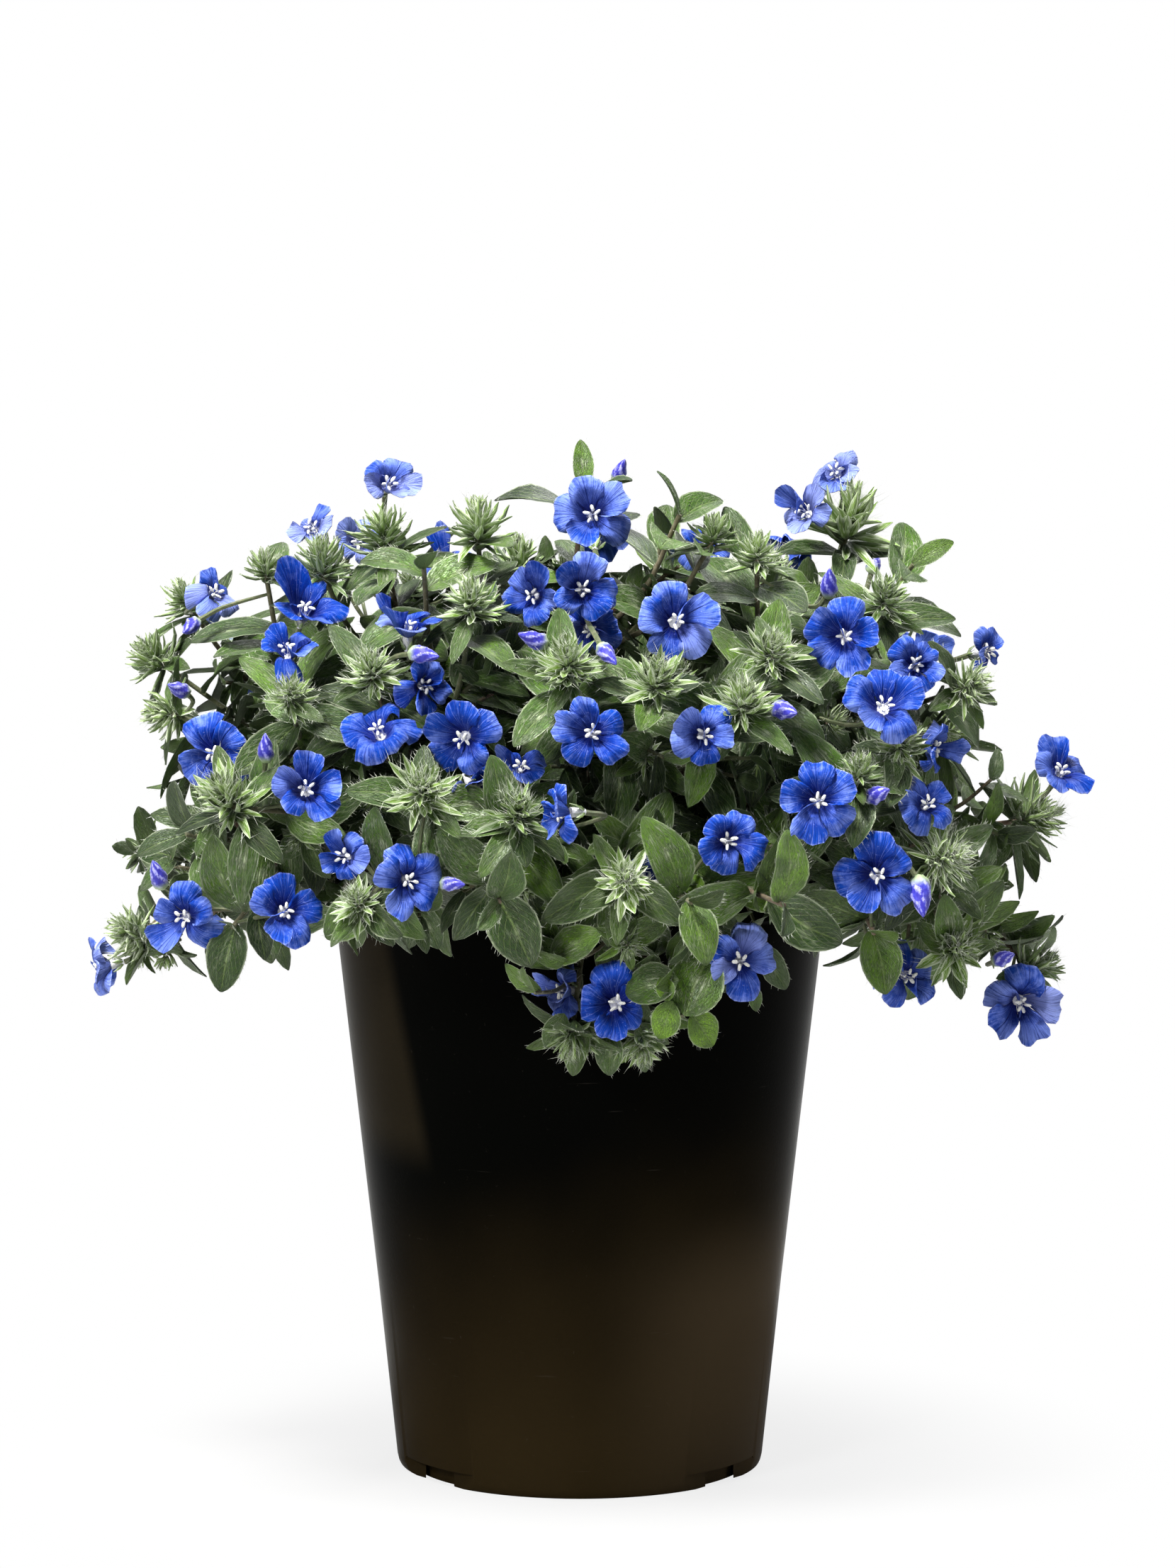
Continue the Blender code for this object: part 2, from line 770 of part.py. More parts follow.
class Space:
    """Remembers what has been placed. A thing is let in only where it is clear of every other owner's.

    Leaves, heads, buds and blooms are kept off those of their own stem too, apart from a leaf's root.
    """

    def __init__(self):
        self.placed = []

    def drop(self):
        self.placed.pop()

    def takes(self, kind, owner, thing):
        points, faces = mesh_of(kind, thing)
        if any(self.edge_in_pot(points, face) for face in faces):
            return False
        low = Vector([min(point[axis] for point in points) - CLEARANCE for axis in range(3)])
        high = Vector([max(point[axis] for point in points) + CLEARANCE for axis in range(3)])
        tree = BVHTree.FromPolygons(points, faces)
        outer = tree
        if kind == "leaf":
            outer = BVHTree.FromPolygons(points, [face for face in faces if LEAF_ROOT not in face])
        for other_kind, other_owner, other_points, other_low, other_high, other in self.placed:
            if any(low[axis] > other_high[axis] or high[axis] < other_low[axis] for axis in range(3)):
                continue
            if other_owner == owner:
                if kind not in ("route", "stalk") and other_kind != "route" and outer.overlap(other):
                    return False
            elif tree.overlap(other) or self.too_near(points, other) or self.too_near(other_points, tree):
                return False
        self.placed.append((kind, owner, points, low, high, outer))
        return True

    @staticmethod
    def edge_in_pot(points, face):
        for start, end in zip(face, face[1:] + face[:1]):
            if any(in_pot(points[start].lerp(points[end], step / 4)) for step in range(4)):
                return True
        return False

    @staticmethod
    def too_near(points, tree):
        """Whether any of these points is within the clearance of a solid, or the first is inside it."""
        for point in points:
            if tree.find_nearest(point)[3] < CLEARANCE:
                return True
        spot, normal, _, distance = tree.find_nearest(points[0])
        return (points[0] - spot).dot(normal) < 0 and distance < 2 * MM


def clear_scene():
    for obj in list(bpy.data.objects):
        bpy.data.objects.remove(obj, do_unlink=True)


def collection_named(name, hidden=False):
    made = bpy.data.collections.new(name)
    bpy.context.scene.collection.children.link(made)
    made.hide_render = hidden
    return made


def material_named(name, colour, roughness):
    made = bpy.data.materials.new(name)
    made.use_nodes = True
    shader = made.node_tree.nodes["Principled BSDF"]
    shader.inputs["Base Color"].default_value = (*colour, 1)
    shader.inputs["Roughness"].default_value = roughness
    made.diffuse_color = (*colour, 1)
    return made


def object_from(name, shape, collection, material=None):
    """An object from points and faces, with its faces turned outwards."""
    points, faces = shape
    mesh = bpy.data.meshes.new(name)
    mesh.from_pydata(points, [], faces)
    bm = bmesh.new()
    bm.from_mesh(mesh)
    bmesh.ops.recalc_face_normals(bm, faces=bm.faces)
    bm.to_mesh(mesh)
    bm.free()
    if material:
        mesh.materials.append(material)
    made = bpy.data.objects.new(name, mesh)
    collection.objects.link(made)
    return made


def turned(name, profile, collection, material):
    """A solid turned about +Z from a profile of (radius, height) that runs down its outer side.

    A profile that doesn't start on the axis is closed, back to its start.
    """
    mesh = bpy.data.meshes.new(name)
    points = [(radius, 0, height) for radius, height in profile]
    edges = [(index, index + 1) for index in range(len(points) - 1)]
    if profile[0][0] > 0:
        edges.append((len(points) - 1, 0))
    mesh.from_pydata(points, edges, [])
    mesh.materials.append(material)
    made = bpy.data.objects.new(name, mesh)
    collection.objects.link(made)
    screw = made.modifiers.new("Turn", "SCREW")
    screw.axis = "Z"
    screw.steps = screw.render_steps = TURN_STEPS
    screw.use_merge_vertices = True
    screw.merge_threshold = 0.00005
    screw.use_smooth_shade = False
    apply_modifiers(made)
    return made


def apply_modifiers(obj):
    """Bakes an object's modifiers into its mesh, with faces turned outwards."""
    bpy.context.view_layer.update()
    graph = bpy.context.evaluated_depsgraph_get()
    mesh = bpy.data.meshes.new_from_object(obj.evaluated_get(graph))
    bm = bmesh.new()
    bm.from_mesh(mesh)
    bmesh.ops.recalc_face_normals(bm, faces=bm.faces)
    bm.to_mesh(mesh)
    bm.free()
    obj.modifiers.clear()
    obj.data = mesh


def joined(obj, others, operation):
    """Applies one Boolean of an object with a whole collection."""
    boolean = obj.modifiers.new("Join", "BOOLEAN")
    boolean.operation = operation
    boolean.operand_type = "COLLECTION"
    boolean.collection = others
    apply_modifiers(obj)


def shade_round(obj):
    obj.data.shade_smooth()
    obj.data.set_sharp_from_angle(angle=math.radians(35))


def notch_cutter(azimuth, cutters):
    """A block through the skirt, wider at the table than at its top."""
    bm = bmesh.new()
    bmesh.ops.create_cube(bm, size=1)
    for vert in bm.verts:
        top = vert.co.z > 0
        width = NOTCH_WIDTH + (-NOTCH_SLOPE if top else NOTCH_SLOPE)
        vert.co = Vector((vert.co.x * width, vert.co.y * 11 * MM, NOTCH_HEIGHT if top else -MM))
    mesh = bpy.data.meshes.new("cut_notch")
    bm.to_mesh(mesh)
    bm.free()
    cutter = bpy.data.objects.new("cut_notch", mesh)
    cutter.location = facing(azimuth, 0, 1) * (SKIRT_RADIUS + 3 * MM)
    cutter.rotation_euler.z = math.radians(azimuth)
    cutters.objects.link(cutter)


def build_pot(parts, cutters, material):
    """The wall, rim, floor and foot ring in one turned body, with notches cut in its skirt."""
    skirt_inside = SKIRT_RADIUS - WALL - 0.2 * MM
    slope = (WALL_TOP_RADIUS - SKIRT_RADIUS) / POT_HEIGHT
    pot = turned(
        "pot",
        (
            (RIM_RADIUS - MM, POT_HEIGHT),
            (RIM_RADIUS, POT_HEIGHT - MM),
            (RIM_RADIUS, POT_HEIGHT - RIM_DEPTH),
            (WALL_TOP_RADIUS, POT_HEIGHT - RIM_DEPTH - 0.6 * MM),
            (SKIRT_RADIUS, SKIRT_CHAMFER),
            (SKIRT_RADIUS - SKIRT_CHAMFER, 0),
            (skirt_inside, 0),
            (skirt_inside, FLOOR_UNDERSIDE),
            (RING_OUTER_RADIUS, FLOOR_UNDERSIDE),
            (RING_OUTER_RADIUS, 0),
            (RING_INNER_RADIUS, 0),
            (RING_INNER_RADIUS, FLOOR_UNDERSIDE),
            (0, FLOOR_UNDERSIDE),
            (0, FLOOR_UNDERSIDE + FLOOR),
            (SKIRT_RADIUS + slope * FLOOR_UNDERSIDE - WALL, FLOOR_UNDERSIDE + FLOOR),
            (WALL_TOP_RADIUS - WALL, POT_HEIGHT - RIM_DEPTH),
            (WALL_TOP_RADIUS - 0.5 * MM, POT_HEIGHT),
        ),
        parts,
        material,
    )
    for azimuth in NOTCH_AZIMUTHS:
        notch_cutter(azimuth, cutters)
    joined(pot, cutters, "DIFFERENCE")
    shade_round(pot)


def root_hole_cutter(root, cutters):
    """A plain upright hole, a little wider than the root and open at the top."""
    height = ROOT_DEPTH + 2 * SOIL_DOME + GAP
    bm = bmesh.new()
    bmesh.ops.create_cone(
        bm,
        cap_ends=True,
        segments=5,
        radius1=ROOT_HOLE_RADIUS,
        radius2=ROOT_HOLE_RADIUS,
        depth=height,
    )
    mesh = bpy.data.meshes.new("cut_root")
    bm.to_mesh(mesh)
    bm.free()
    cutter = bpy.data.objects.new("cut_root", mesh)
    cutter.location = root + Vector((0, 0, height / 2 - GAP))
    cutters.objects.link(cutter)


def build_soil(parts, cutters, material, roots):
    """A slightly domed fill, clear of the pot, with a hole for every root."""
    slope = (WALL_TOP_RADIUS - SKIRT_RADIUS) / POT_HEIGHT
    bottom = FLOOR_UNDERSIDE + FLOOR + GAP
    inside = SKIRT_RADIUS - WALL - 2 * GAP
    soil = turned(
        "soil",
        (
            (0, SOIL_TOP + SOIL_DOME),
            (0.6 * WALL_TOP_RADIUS, SOIL_TOP + 0.7 * SOIL_DOME),
            (inside + slope * SOIL_TOP, SOIL_TOP),
            (inside + slope * bottom, bottom),
            (0, bottom),
        ),
        parts,
        material,
    )
    for root in roots:
        root_hole_cutter(root, cutters)
    joined(soil, cutters, "DIFFERENCE")
    shade_round(soil)


def build_stem(name, stem, inner_blooms, parts, material):
    """One leafy stem: its repeats are made apart and joined by one union."""
    shapes = []
    shapes += [stem_mesh(route, None, TWIG_RADIUS, TWIG_RADIUS) for route in stem["routes"][1:]]
    for head in stem["heads"]:
        if head[2]:
            shapes.append(head_mesh(*head))
    shapes += [bud_mesh(*bud) for bud in stem["buds"]]
    shapes += [stalk_mesh(stalk) for stalk in stem["stalks"]]
    shapes += [leaf_mesh(leaf) for leaf in stem["leaves"]]
    shapes += [bloom_mesh(bloom, INNER_BLOOM_SEGMENTS) for bloom in inner_blooms]
    repeats = collection_named(f"repeats_{name}", hidden=True)
    for index, shape in enumerate(shapes):
        object_from(f"{name}_{index}", shape, repeats)
    trunk = object_from(name, stem_mesh(stem["routes"][0], stem["root"], STEM_RADIUS, TWIG_RADIUS), parts)
    joined(trunk, repeats, "UNION")
    trunk.data.materials.clear()
    trunk.data.materials.append(material)
    for obj in list(repeats.objects):
        bpy.data.objects.remove(obj, do_unlink=True)
    bpy.data.collections.remove(repeats)


def main():
    clear_scene()
    parts = collection_named("potted_blue_daze")
    pot_cutters = collection_named("cutters_pot", hidden=True)
    soil_cutters = collection_named("cutters_soil", hidden=True)
    plan = Plan(Space())
    build_pot(parts, pot_cutters, material_named("pot_plastic", (0.012, 0.011, 0.01), 0.3))
    roots = [stem["root"] for stem in plan.stems.values()]
    build_soil(parts, soil_cutters, material_named("soil", (0.05, 0.032, 0.02), 0.95), roots)
    for name, stem in plan.stems.items():
        inner = [entry["bloom"] for entry in plan.blooms if entry["owner"] == name]
        build_stem(f"stem_{name}", stem, inner, parts, material_named("leaves", (0.2, 0.27, 0.17), 0.7))
    for entry in plan.blooms:
        if entry["owner"] != entry["stem"]:
            material = material_named("petals", (0.07, 0.12, 0.55), 0.6)
            object_from(entry["owner"], bloom_mesh(entry["bloom"], BLOOM_SEGMENTS), parts, material)
    for cutters in (pot_cutters, soil_cutters):
        for cutter in cutters.objects:
            cutter.hide_render = True
            cutter.display_type = "WIRE"


main()
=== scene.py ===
"""How the potted blue daze looks: veined, silky leaves, bract heads, petals, stamens, buds, pot and soil.

The plant is laid out by the rules of the CAD source, so each leaf, head and bloom here stands where its
solid is. Side shoots and small leaves then fill the mound between them. Lengths are in metres.
"""

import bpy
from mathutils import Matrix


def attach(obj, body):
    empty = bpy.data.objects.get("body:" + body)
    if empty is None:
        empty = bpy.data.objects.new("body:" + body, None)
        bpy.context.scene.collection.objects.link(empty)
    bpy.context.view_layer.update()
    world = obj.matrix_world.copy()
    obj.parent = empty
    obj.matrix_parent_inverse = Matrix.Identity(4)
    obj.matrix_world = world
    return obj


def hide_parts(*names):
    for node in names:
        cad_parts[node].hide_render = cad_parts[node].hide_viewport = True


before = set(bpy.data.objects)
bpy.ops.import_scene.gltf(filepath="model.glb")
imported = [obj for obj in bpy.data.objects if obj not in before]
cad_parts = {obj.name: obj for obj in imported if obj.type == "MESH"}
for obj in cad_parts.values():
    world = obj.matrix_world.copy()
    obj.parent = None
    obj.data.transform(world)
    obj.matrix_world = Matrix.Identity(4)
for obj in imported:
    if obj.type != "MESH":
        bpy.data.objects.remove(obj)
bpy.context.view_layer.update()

import functools
import math
import random
from dataclasses import dataclass

import bmesh
import bpy
import numpy as np
from mathutils import Vector, noise
from mathutils.bvhtree import BVHTree

MM = 0.001
GAP = 0.3 * MM
WELD = 0.01 * MM

# The pot: a thin moulded wall with a rolled rim, and a floor raised on a ring inside a notched skirt.
POT_HEIGHT = 190 * MM
RIM_RADIUS = 82 * MM
RIM_DEPTH = 8 * MM
WALL_TOP_RADIUS = 79 * MM
SKIRT_RADIUS = 59 * MM
SKIRT_CHAMFER = 1.2 * MM
WALL = 1.8 * MM
FLOOR_UNDERSIDE = 6.5 * MM
FLOOR = 2 * MM
RING_OUTER_RADIUS = 55 * MM
RING_INNER_RADIUS = 51 * MM
NOTCH_AZIMUTHS = (-128, -52, 52, 128)
NOTCH_HEIGHT = 5.5 * MM
NOTCH_WIDTH = 40 * MM
NOTCH_SLOPE = 5 * MM
NOTCH_DEPTH = 11 * MM
WALL_SLOPE = (WALL_TOP_RADIUS - SKIRT_RADIUS) / POT_HEIGHT

# The soil fills the pot to a little below the rim.
SOIL_TOP = 177 * MM
SOIL_DOME = 2 * MM
ROOT_DEPTH = 20 * MM
SHOOT_START_Z = SOIL_TOP + 5 * MM

# The plant. Places in the tables are millimetres right of the axis and above the table, as the eye
# sees them against the plane through the axis. A row then gives how far the thing stands out of the
# mound, which way it faces (degrees to the right, degrees up) and its size in millimetres.
EYE = Vector((0, -1600, 361)) * MM
MOUND_CENTRE_Z = 185 * MM
MOUND_RADII = Vector((165, 132, 145)) * MM
STEM_RADIUS = 1.4 * MM
TWIG_RADIUS = 1.05 * MM
STALK_RADIUS = 0.75 * MM
CALYX_RADIUS = 1.5 * MM
BLOOM_DEPTH = 8 * MM
BLOOM_SEGMENTS = 15
LEAF_THICKNESS = 1.2 * MM
CLEARANCE = 0.25 * MM
GOLDEN_ANGLE = math.radians(137.5)


@dataclass
class Rows:
    """One stem's rows. Its root stands this many degrees round the pot and this far from the axis."""

    root: tuple
    heads: tuple
    tips: tuple = ()
    blooms: tuple = ()
    inner_blooms: tuple = ()
    buds: tuple = ()
    side: int = 1


STEMS = {
    "left_low": Rows(
        root=(184, 34),
        heads=((-146, 173, -45, -60, 25, 16),),
        tips=((-127, 204, -30, -78, 8, 0), (-112, 174, -22, -20, -30, 0)),
        blooms=((-128, 177, -8, -15, -5, 24), (-155, 161, -45, -75, -10, 23), (-95, 179, -8, 15, 8, 23)),
        buds=((-136, 191, -20, -30, 60, 11),),
    ),
    "left_mid": Rows(
        root=(204, 26),
        heads=((-114, 217, 10, -30, 45, 20), (-135, 243, -20, -65, 5, 14), (-138, 262, -20, -55, 35, 15)),
        blooms=((-118, 230, -8, -10, 5, 26), (-88, 219, 0, 5, 20, 25)),
        buds=((-129, 251, -8, -40, 20, 10), (-101, 232, 0, 0, 70, 10)),
    ),
    "left_upper": Rows(
        root=(195, 16),
        heads=((-127, 281, -10, -40, 60, 14), (-101, 291, -6, -20, 75, 12), (-93, 250, 6, 8, 40, 12)),
        blooms=((-88, 277, 0, 25, 50, 26), (-94, 264, 0, -10, 55, 20)),
        inner_blooms=((-117, 282, -14, 50, 25, 20),),
        buds=((-125, 271, 0, -25, -20, 10),),
    ),
    "top_left": Rows(
        root=(222, 9),
        heads=((-63, 302, 0, -10, 80, 18), (-83, 293, 4, -15, 68, 17)),
        tips=((-50, 290, 4, 12, 60, 0),),
        inner_blooms=(
            (-61, 317, -4, 15, 25, 21), (-86, 303, -14, -35, 30, 18), (-71, 298, -16, 30, 20, 18),
            (-55, 271, 0, 10, 68, 20),
        ),
    ),
    "centre_left_high": Rows(
        root=(241, 18),
        heads=((-67, 258, 2, -5, 50, 15), (-35, 281, 2, 0, 62, 15)),
        blooms=((-65, 238, 0, -20, 42, 27), (-50, 252, -6, 38, 0, 20)),
        buds=((-50, 262, 0, 60, -5, 11),),
    ),
    "centre_left_low": Rows(
        root=(250, 33),
        heads=((-51, 219, 6, 0, 32, 17), (-72, 183, 0, -10, 40, 13), (-20, 212, 2, 5, 40, 16)),
        tips=((-26, 182, -2, -5, -5, 0),),
        blooms=((-38, 235, 0, -18, -8, 24), (-55, 189, 2, 22, -4, 23)),
        inner_blooms=(
            (-6, 211, 0, -62, 0, 20), (-34, 219, -10, 25, -25, 16), (-76, 197, -8, -30, 10, 18),
            (-19, 226, -12, 10, 45, 18),
        ),
        buds=((-41, 188, 0, 60, 0, 9),),
    ),
    "top_centre": Rows(
        root=(290, 6),
        heads=((-33, 305, 0, -5, 80, 17), (43, 302, -3, 20, 75, 13)),
        tips=((1, 316, -8, 0, 75, 0), (32, 307, 2, 8, 78, 0)),
        blooms=((4, 307, 4, 0, 10, 25), (1, 283, 4, 4, 8, 24), (-15, 281, -3, -22, 6, 22)),
        inner_blooms=((3, 270, -4, 12, -15, 22),),
        buds=((13, 321, 2, 35, 55, 9), (9, 262, 4, 40, -35, 10)),
    ),
    "centre": Rows(
        root=(283, 22),
        heads=((-4, 260, 6, -5, 42, 17), (25, 255, 6, 5, 45, 18), (53, 248, 4, 14, 45, 16)),
        blooms=((31, 273, 2, 4, 10, 26), (4, 237, 4, 0, 8, 25), (40, 236, 0, 10, 4, 22)),
        buds=((-15, 267, 4, -60, 20, 11), (66, 244, 2, 35, -5, 12)),
    ),
    "top_right": Rows(
        root=(342, 11),
        heads=((87, 307, 0, 25, 68, 24), (57, 296, 0, 8, 72, 13)),
        tips=((107, 291, 0, 25, 50, 0),),
        blooms=((82, 321, -8, -20, 35, 21),),
        inner_blooms=((72, 308, -8, -30, 20, 18),),
        buds=((80, 285, 4, 0, 60, 11),),
    ),
    "right_upper": Rows(
        root=(320, 20),
        heads=((98, 281, 4, 15, 50, 15), (127, 253, -6, 45, 25, 14), (62, 264, 2, 8, 45, 15)),
        blooms=((85, 268, 2, -5, 4, 25), (98, 246, 4, 5, 28, 25)),
        inner_blooms=((108, 259, 0, 5, 15, 20), (131, 263, -28, 50, 10, 16)),
    ),
    "right_mid": Rows(
        root=(330, 30),
        heads=(
            (104, 234, 2, 20, 40, 14), (90, 225, 2, 5, 55, 12), (119, 197, 0, 35, 18, 17),
            (148, 210, -38, 62, 18, 19),
        ),
        blooms=((77, 215, 4, 0, 5, 27), (155, 225, -30, 20, 40, 24)),
        inner_blooms=((112, 214, 0, 18, 25, 20), (114, 232, -14, 62, -10, 20)),
        buds=((96, 217, 4, 40, 20, 11),),
    ),
    "right_low": Rows(
        root=(353, 34),
        heads=((149, 162, -42, 58, 32, 15), (122, 167, -14, 15, 12, 16)),
        tips=((95, 172, -20, 15, -30, 0),),
        blooms=((96, 191, 0, 5, 5, 26), (106, 158, -26, 32, -8, 23), (143, 149, -40, 15, -12, 25)),
        buds=((110, 184, 4, 10, -60, 14), (137, 164, -36, 40, 20, 10)),
    ),
    "low_centre": Rows(
        root=(280, 36),
        heads=((15, 190, 0, 5, 22, 15), (-3, 136, -30, -12, -50, 14), (20, 135, -32, 8, -50, 14)),
        tips=((36, 182, -6, 5, 5, 0), (66, 181, -2, 18, -5, 0)),
        blooms=((48, 202, 0, 14, 8, 23), (52, 163, -22, 10, 8, 25), (12, 149, -32, 6, 4, 25)),
        inner_blooms=((22, 189, -12, 20, 0, 19), (-6, 153, -36, -45, 0, 20)),
    ),
    "crown": Rows(
        root=(20, 6),
        heads=((-20, 294, -83, -5, 78, 16), (60, 290, -97, 20, 72, 16)),
        tips=((26, 297, -81, 5, 78, 0), (-60, 286, -100, -25, 70, 0)),
        inner_blooms=((-42, 292, -84, -10, 60, 22), (40, 295, -80, 5, 60, 22)),
    ),
    "back_left": Rows(
        root=(38, 26),
        heads=((-132, 228, -4, -50, 35, 16), (-92, 270, 2, -20, 60, 16)),
        tips=((-104, 196, 0, -40, 10, 0),),
        blooms=((-118, 254, 0, -40, 25, 24), (-84, 232, 2, -18, 15, 26), (-124, 204, -2, -45, 0, 24)),
        inner_blooms=((-72, 290, -4, -10, 45, 21),),
        buds=((-100, 288, 0, -20, 60, 10),),
        side=-1,
    ),
    "back_middle": Rows(
        root=(86, 30),
        heads=((-34, 226, 4, -10, 35, 17), (26, 208, 4, 10, 25, 16)),
        tips=((-6, 178, -6, 0, 0, 0),),
        blooms=((-10, 246, 2, -5, 15, 26), (48, 226, 2, 15, 10, 25), (-42, 196, 4, -8, 0, 24)),
        inner_blooms=((2, 220, -6, 10, 30, 19),),
        buds=((-58, 214, 2, -30, 20, 11),),
        side=-1,
    ),
    "back_right": Rows(
        root=(138, 26),
        heads=((128, 222, -6, 50, 30, 16), (94, 260, 2, 25, 55, 16)),
        tips=((92, 192, 0, 30, 10, 0),),
        blooms=((114, 244, 0, 35, 20, 25), (118, 198, -4, 35, 0, 24), (74, 236, 2, 15, 20, 24)),
        inner_blooms=((64, 196, -4, 15, -5, 20),),
        buds=((120, 262, -4, 40, 50, 10),),
        side=-1,
    ),
    "back_top": Rows(
        root=(92, 12),
        heads=((-30, 284, 2, -10, 70, 17), (24, 274, 2, 5, 55, 17)),
        tips=((62, 286, -4, 15, 70, 0),),
        blooms=((-6, 294, 2, -5, 40, 25), (44, 256, 2, 12, 25, 26)),
        inner_blooms=((-52, 258, 0, -15, 30, 22),),
        buds=((4, 258, 2, 0, 40, 11),),
        side=-1,
    ),
}

# Leaves below a shoot's tip: distance down the twig, length, width and angle from the twig.
HEAD_LEAVES = ((4, 22, 10, 62), (11, 27, 13.5, 70), (20, 29, 15, 78), (31, 28, 14.5, 84))
TIP_LEAVES = ((0.8, 16, 8, 25), (3, 21, 13, 52), (9, 27, 16, 64), (18, 29, 16, 74), (30, 27, 15, 82))
SIGHT_MOVES = (0, 3, -3, 6, -6, 9, -9, 12, -12, 16, -16, 20)
# A stem's ways: how much higher it rises, and how many joints further up or down its branches fork.
ROUTE_MOVES = ((0, 0), (8, 0), (0, -1), (-6, 1), (16, 0), (8, 1), (24, -1), (34, 0), (12, 1), (-12, 0))
# A leaf's ways: how far it is turned and tilted, in degrees, and its share of its size.
LEAF_MOVES = (
    (0, 0, 1), (28, 0, 1), (-28, 0, 1), (0, -22, 1), (55, 0, 1), (-55, 0, 1), (0, 20, 0.85),
    (85, -10, 0.85), (-85, -10, 0.85), (0, -30, 0.75), (130, 0, 0.75), (180, -15, 0.75),
)


# Where a flower's stalk may leave a branch, in millimetres back from its tip, and how many of these
# places are tried.
STALK_SPOTS = range(3, 100, 4)
STALK_TRIES = 30


# Directions, places and curves.


def facing(turn, lift, side):
    """The direction that is turned this far to the viewer's right and lifted this far, in degrees."""
    turn, lift = math.radians(turn), math.radians(lift)
    across = math.cos(lift)
    return Vector((side * math.sin(turn) * across, -side * math.cos(turn) * across, math.sin(lift)))


def seen_at(x, z, forward, side):
    """The point this far in front of the axis on the line of sight through (x, z)."""
    eye = Vector((0, -EYE.y, EYE.z))
    aim = Vector((x, 0, z))
    point = eye.lerp(aim, 1 - forward / eye.y)
    return Vector((side * point.x, -side * point.y, point.z))


def mound_depth(x, z):
    """How far in front of the axis the line of sight through (x, z) meets the mound."""
    forward = 0.0
    for _ in range(6):
        point = seen_at(x, z, forward, 1)
        across = (point.x / MOUND_RADII.x) ** 2 + ((point.z - MOUND_CENTRE_Z) / MOUND_RADII.z) ** 2
        forward = MOUND_RADII.y * math.sqrt(max(0.0, 1 - across))
    return forward


def places(row, side):
    """A row's place on the mound, and the same place moved along the line of sight."""
    x, z, out = row[0] * MM, row[1] * MM, row[2] * MM
    return [seen_at(x, z, mound_depth(x, z) + out + move * MM, side) for move in SIGHT_MOVES]


def axes_about(direction, up_hint=Vector((0, 0, 1))):
    """Two unit vectors across a direction: one level and to its side, one over it."""
    side = direction.cross(up_hint)
    if side.length < 1e-3:
        side = direction.cross(Vector((0, 1, 0)))
    side.normalize()
    return side, side.cross(direction)


def turned(first, second, angle):
    """The direction at this angle from the first of two, towards the second."""
    return first * math.cos(angle) + second * math.sin(angle)


def level(turn):
    """The level direction at this angle round the pot."""
    return Vector((math.cos(turn), math.sin(turn), 0))


def upright(height):
    return Vector((0, 0, height))


def bezier(points, steps):
    """Points along a cubic curve with these four control points."""
    a, b, c, d = points
    made = []
    for i in range(steps + 1):
        t = i / steps
        s = 1 - t
        made.append(a * s**3 + b * (3 * s * s * t) + c * (3 * s * t * t) + d * t**3)
    return made


def below_tip(route, distance):
    """The point this far back from the end of a route, and the direction of growth there."""
    if distance <= 0:
        direction = (route[-1] - route[-2]).normalized()
        return route[-1] - direction * distance, direction
    for end, start in zip(route[::-1], route[-2::-1]):
        step = (end - start).length
        if step >= distance:
            return end.lerp(start, distance / step), (end - start).normalized()
        distance -= step
    return route[0], (route[1] - route[0]).normalized()


# Leaves, blooms and branches as the solids have them, and how they are placed.


@dataclass
class Leaf:
    """One leaf: its base, the way that it points, its upper face, size, bend and fold."""

    base: Vector
    along: Vector
    normal: Vector
    length: float
    width: float
    droop: float
    fold: float

    def point(self, t, across, up, thickness=LEAF_THICKNESS):
        """t runs from base to tip, across from edge to edge, up from the lower face to the upper."""
        half = self.width / 2 * max(0.0, math.sin(math.pi * t**0.88)) ** 0.75
        turn = self.droop * t / 2
        sideways = self.along.cross(self.normal)
        middle = self.along * math.cos(turn) - self.normal * math.sin(turn)
        over = self.normal * math.cos(turn * 2) + self.along * math.sin(turn * 2)
        rise = self.fold * abs(across) * half + up * thickness / 2
        return self.base + middle * (self.length * t) + sideways * (across * half) + over * rise


@dataclass
class Bloom:
    """One open bloom: the middle of its face, the way that it faces, its radius and how cupped it is."""

    centre: Vector
    face: Vector
    radius: float
    cup: float
    roll: float

    def foot(self):
        return self.centre - self.face * BLOOM_DEPTH

    def rim(self, angle):
        """The edge of the petals, five lobes joined at shallow notches."""
        side, over = axes_about(self.face)
        lobe = 0.8 + 0.2 * abs(math.sin(2.5 * angle)) ** 0.6
        out = turned(side, over, angle + self.roll)
        reach = self.radius * lobe
        return self.centre + out * (reach * math.cos(self.cup)) + self.face * (reach * math.sin(self.cup))


def leaf_off(base, growth, out, angle, *shape):
    """A leaf that leaves its shoot at this angle. Its shape is its length, width, droop and fold."""
    normal = growth * math.sin(angle) - out * math.cos(angle)
    return Leaf(base, turned(growth, out, angle), normal, *shape)


def leaf_choices(label, route, row, phase):
    """A leaf on a twig, and the ways that it may be bent to clear its neighbours."""
    draw = random.Random(label)
    distance, length, width, spread = row
    base, growth = below_tip(route, distance * MM)
    side, over = axes_about(growth, Vector((0.1, 0.05, 1)))
    phase += draw.uniform(-0.3, 0.3)
    length *= draw.uniform(0.88, 1.12)
    width *= draw.uniform(0.88, 1.15)
    spread += draw.uniform(-9, 9)
    droop = math.radians(draw.uniform(12, 48))
    fold = draw.uniform(0.1, 0.35)
    made = []
    for turn, tilt, share in LEAF_MOVES:
        around = phase + math.radians(turn)
        angle = math.radians(spread + tilt)
        out = turned(side, over, around)
        made.append(leaf_off(base, growth, out, angle, length * share * MM, width * share * MM, droop, fold))
    return made


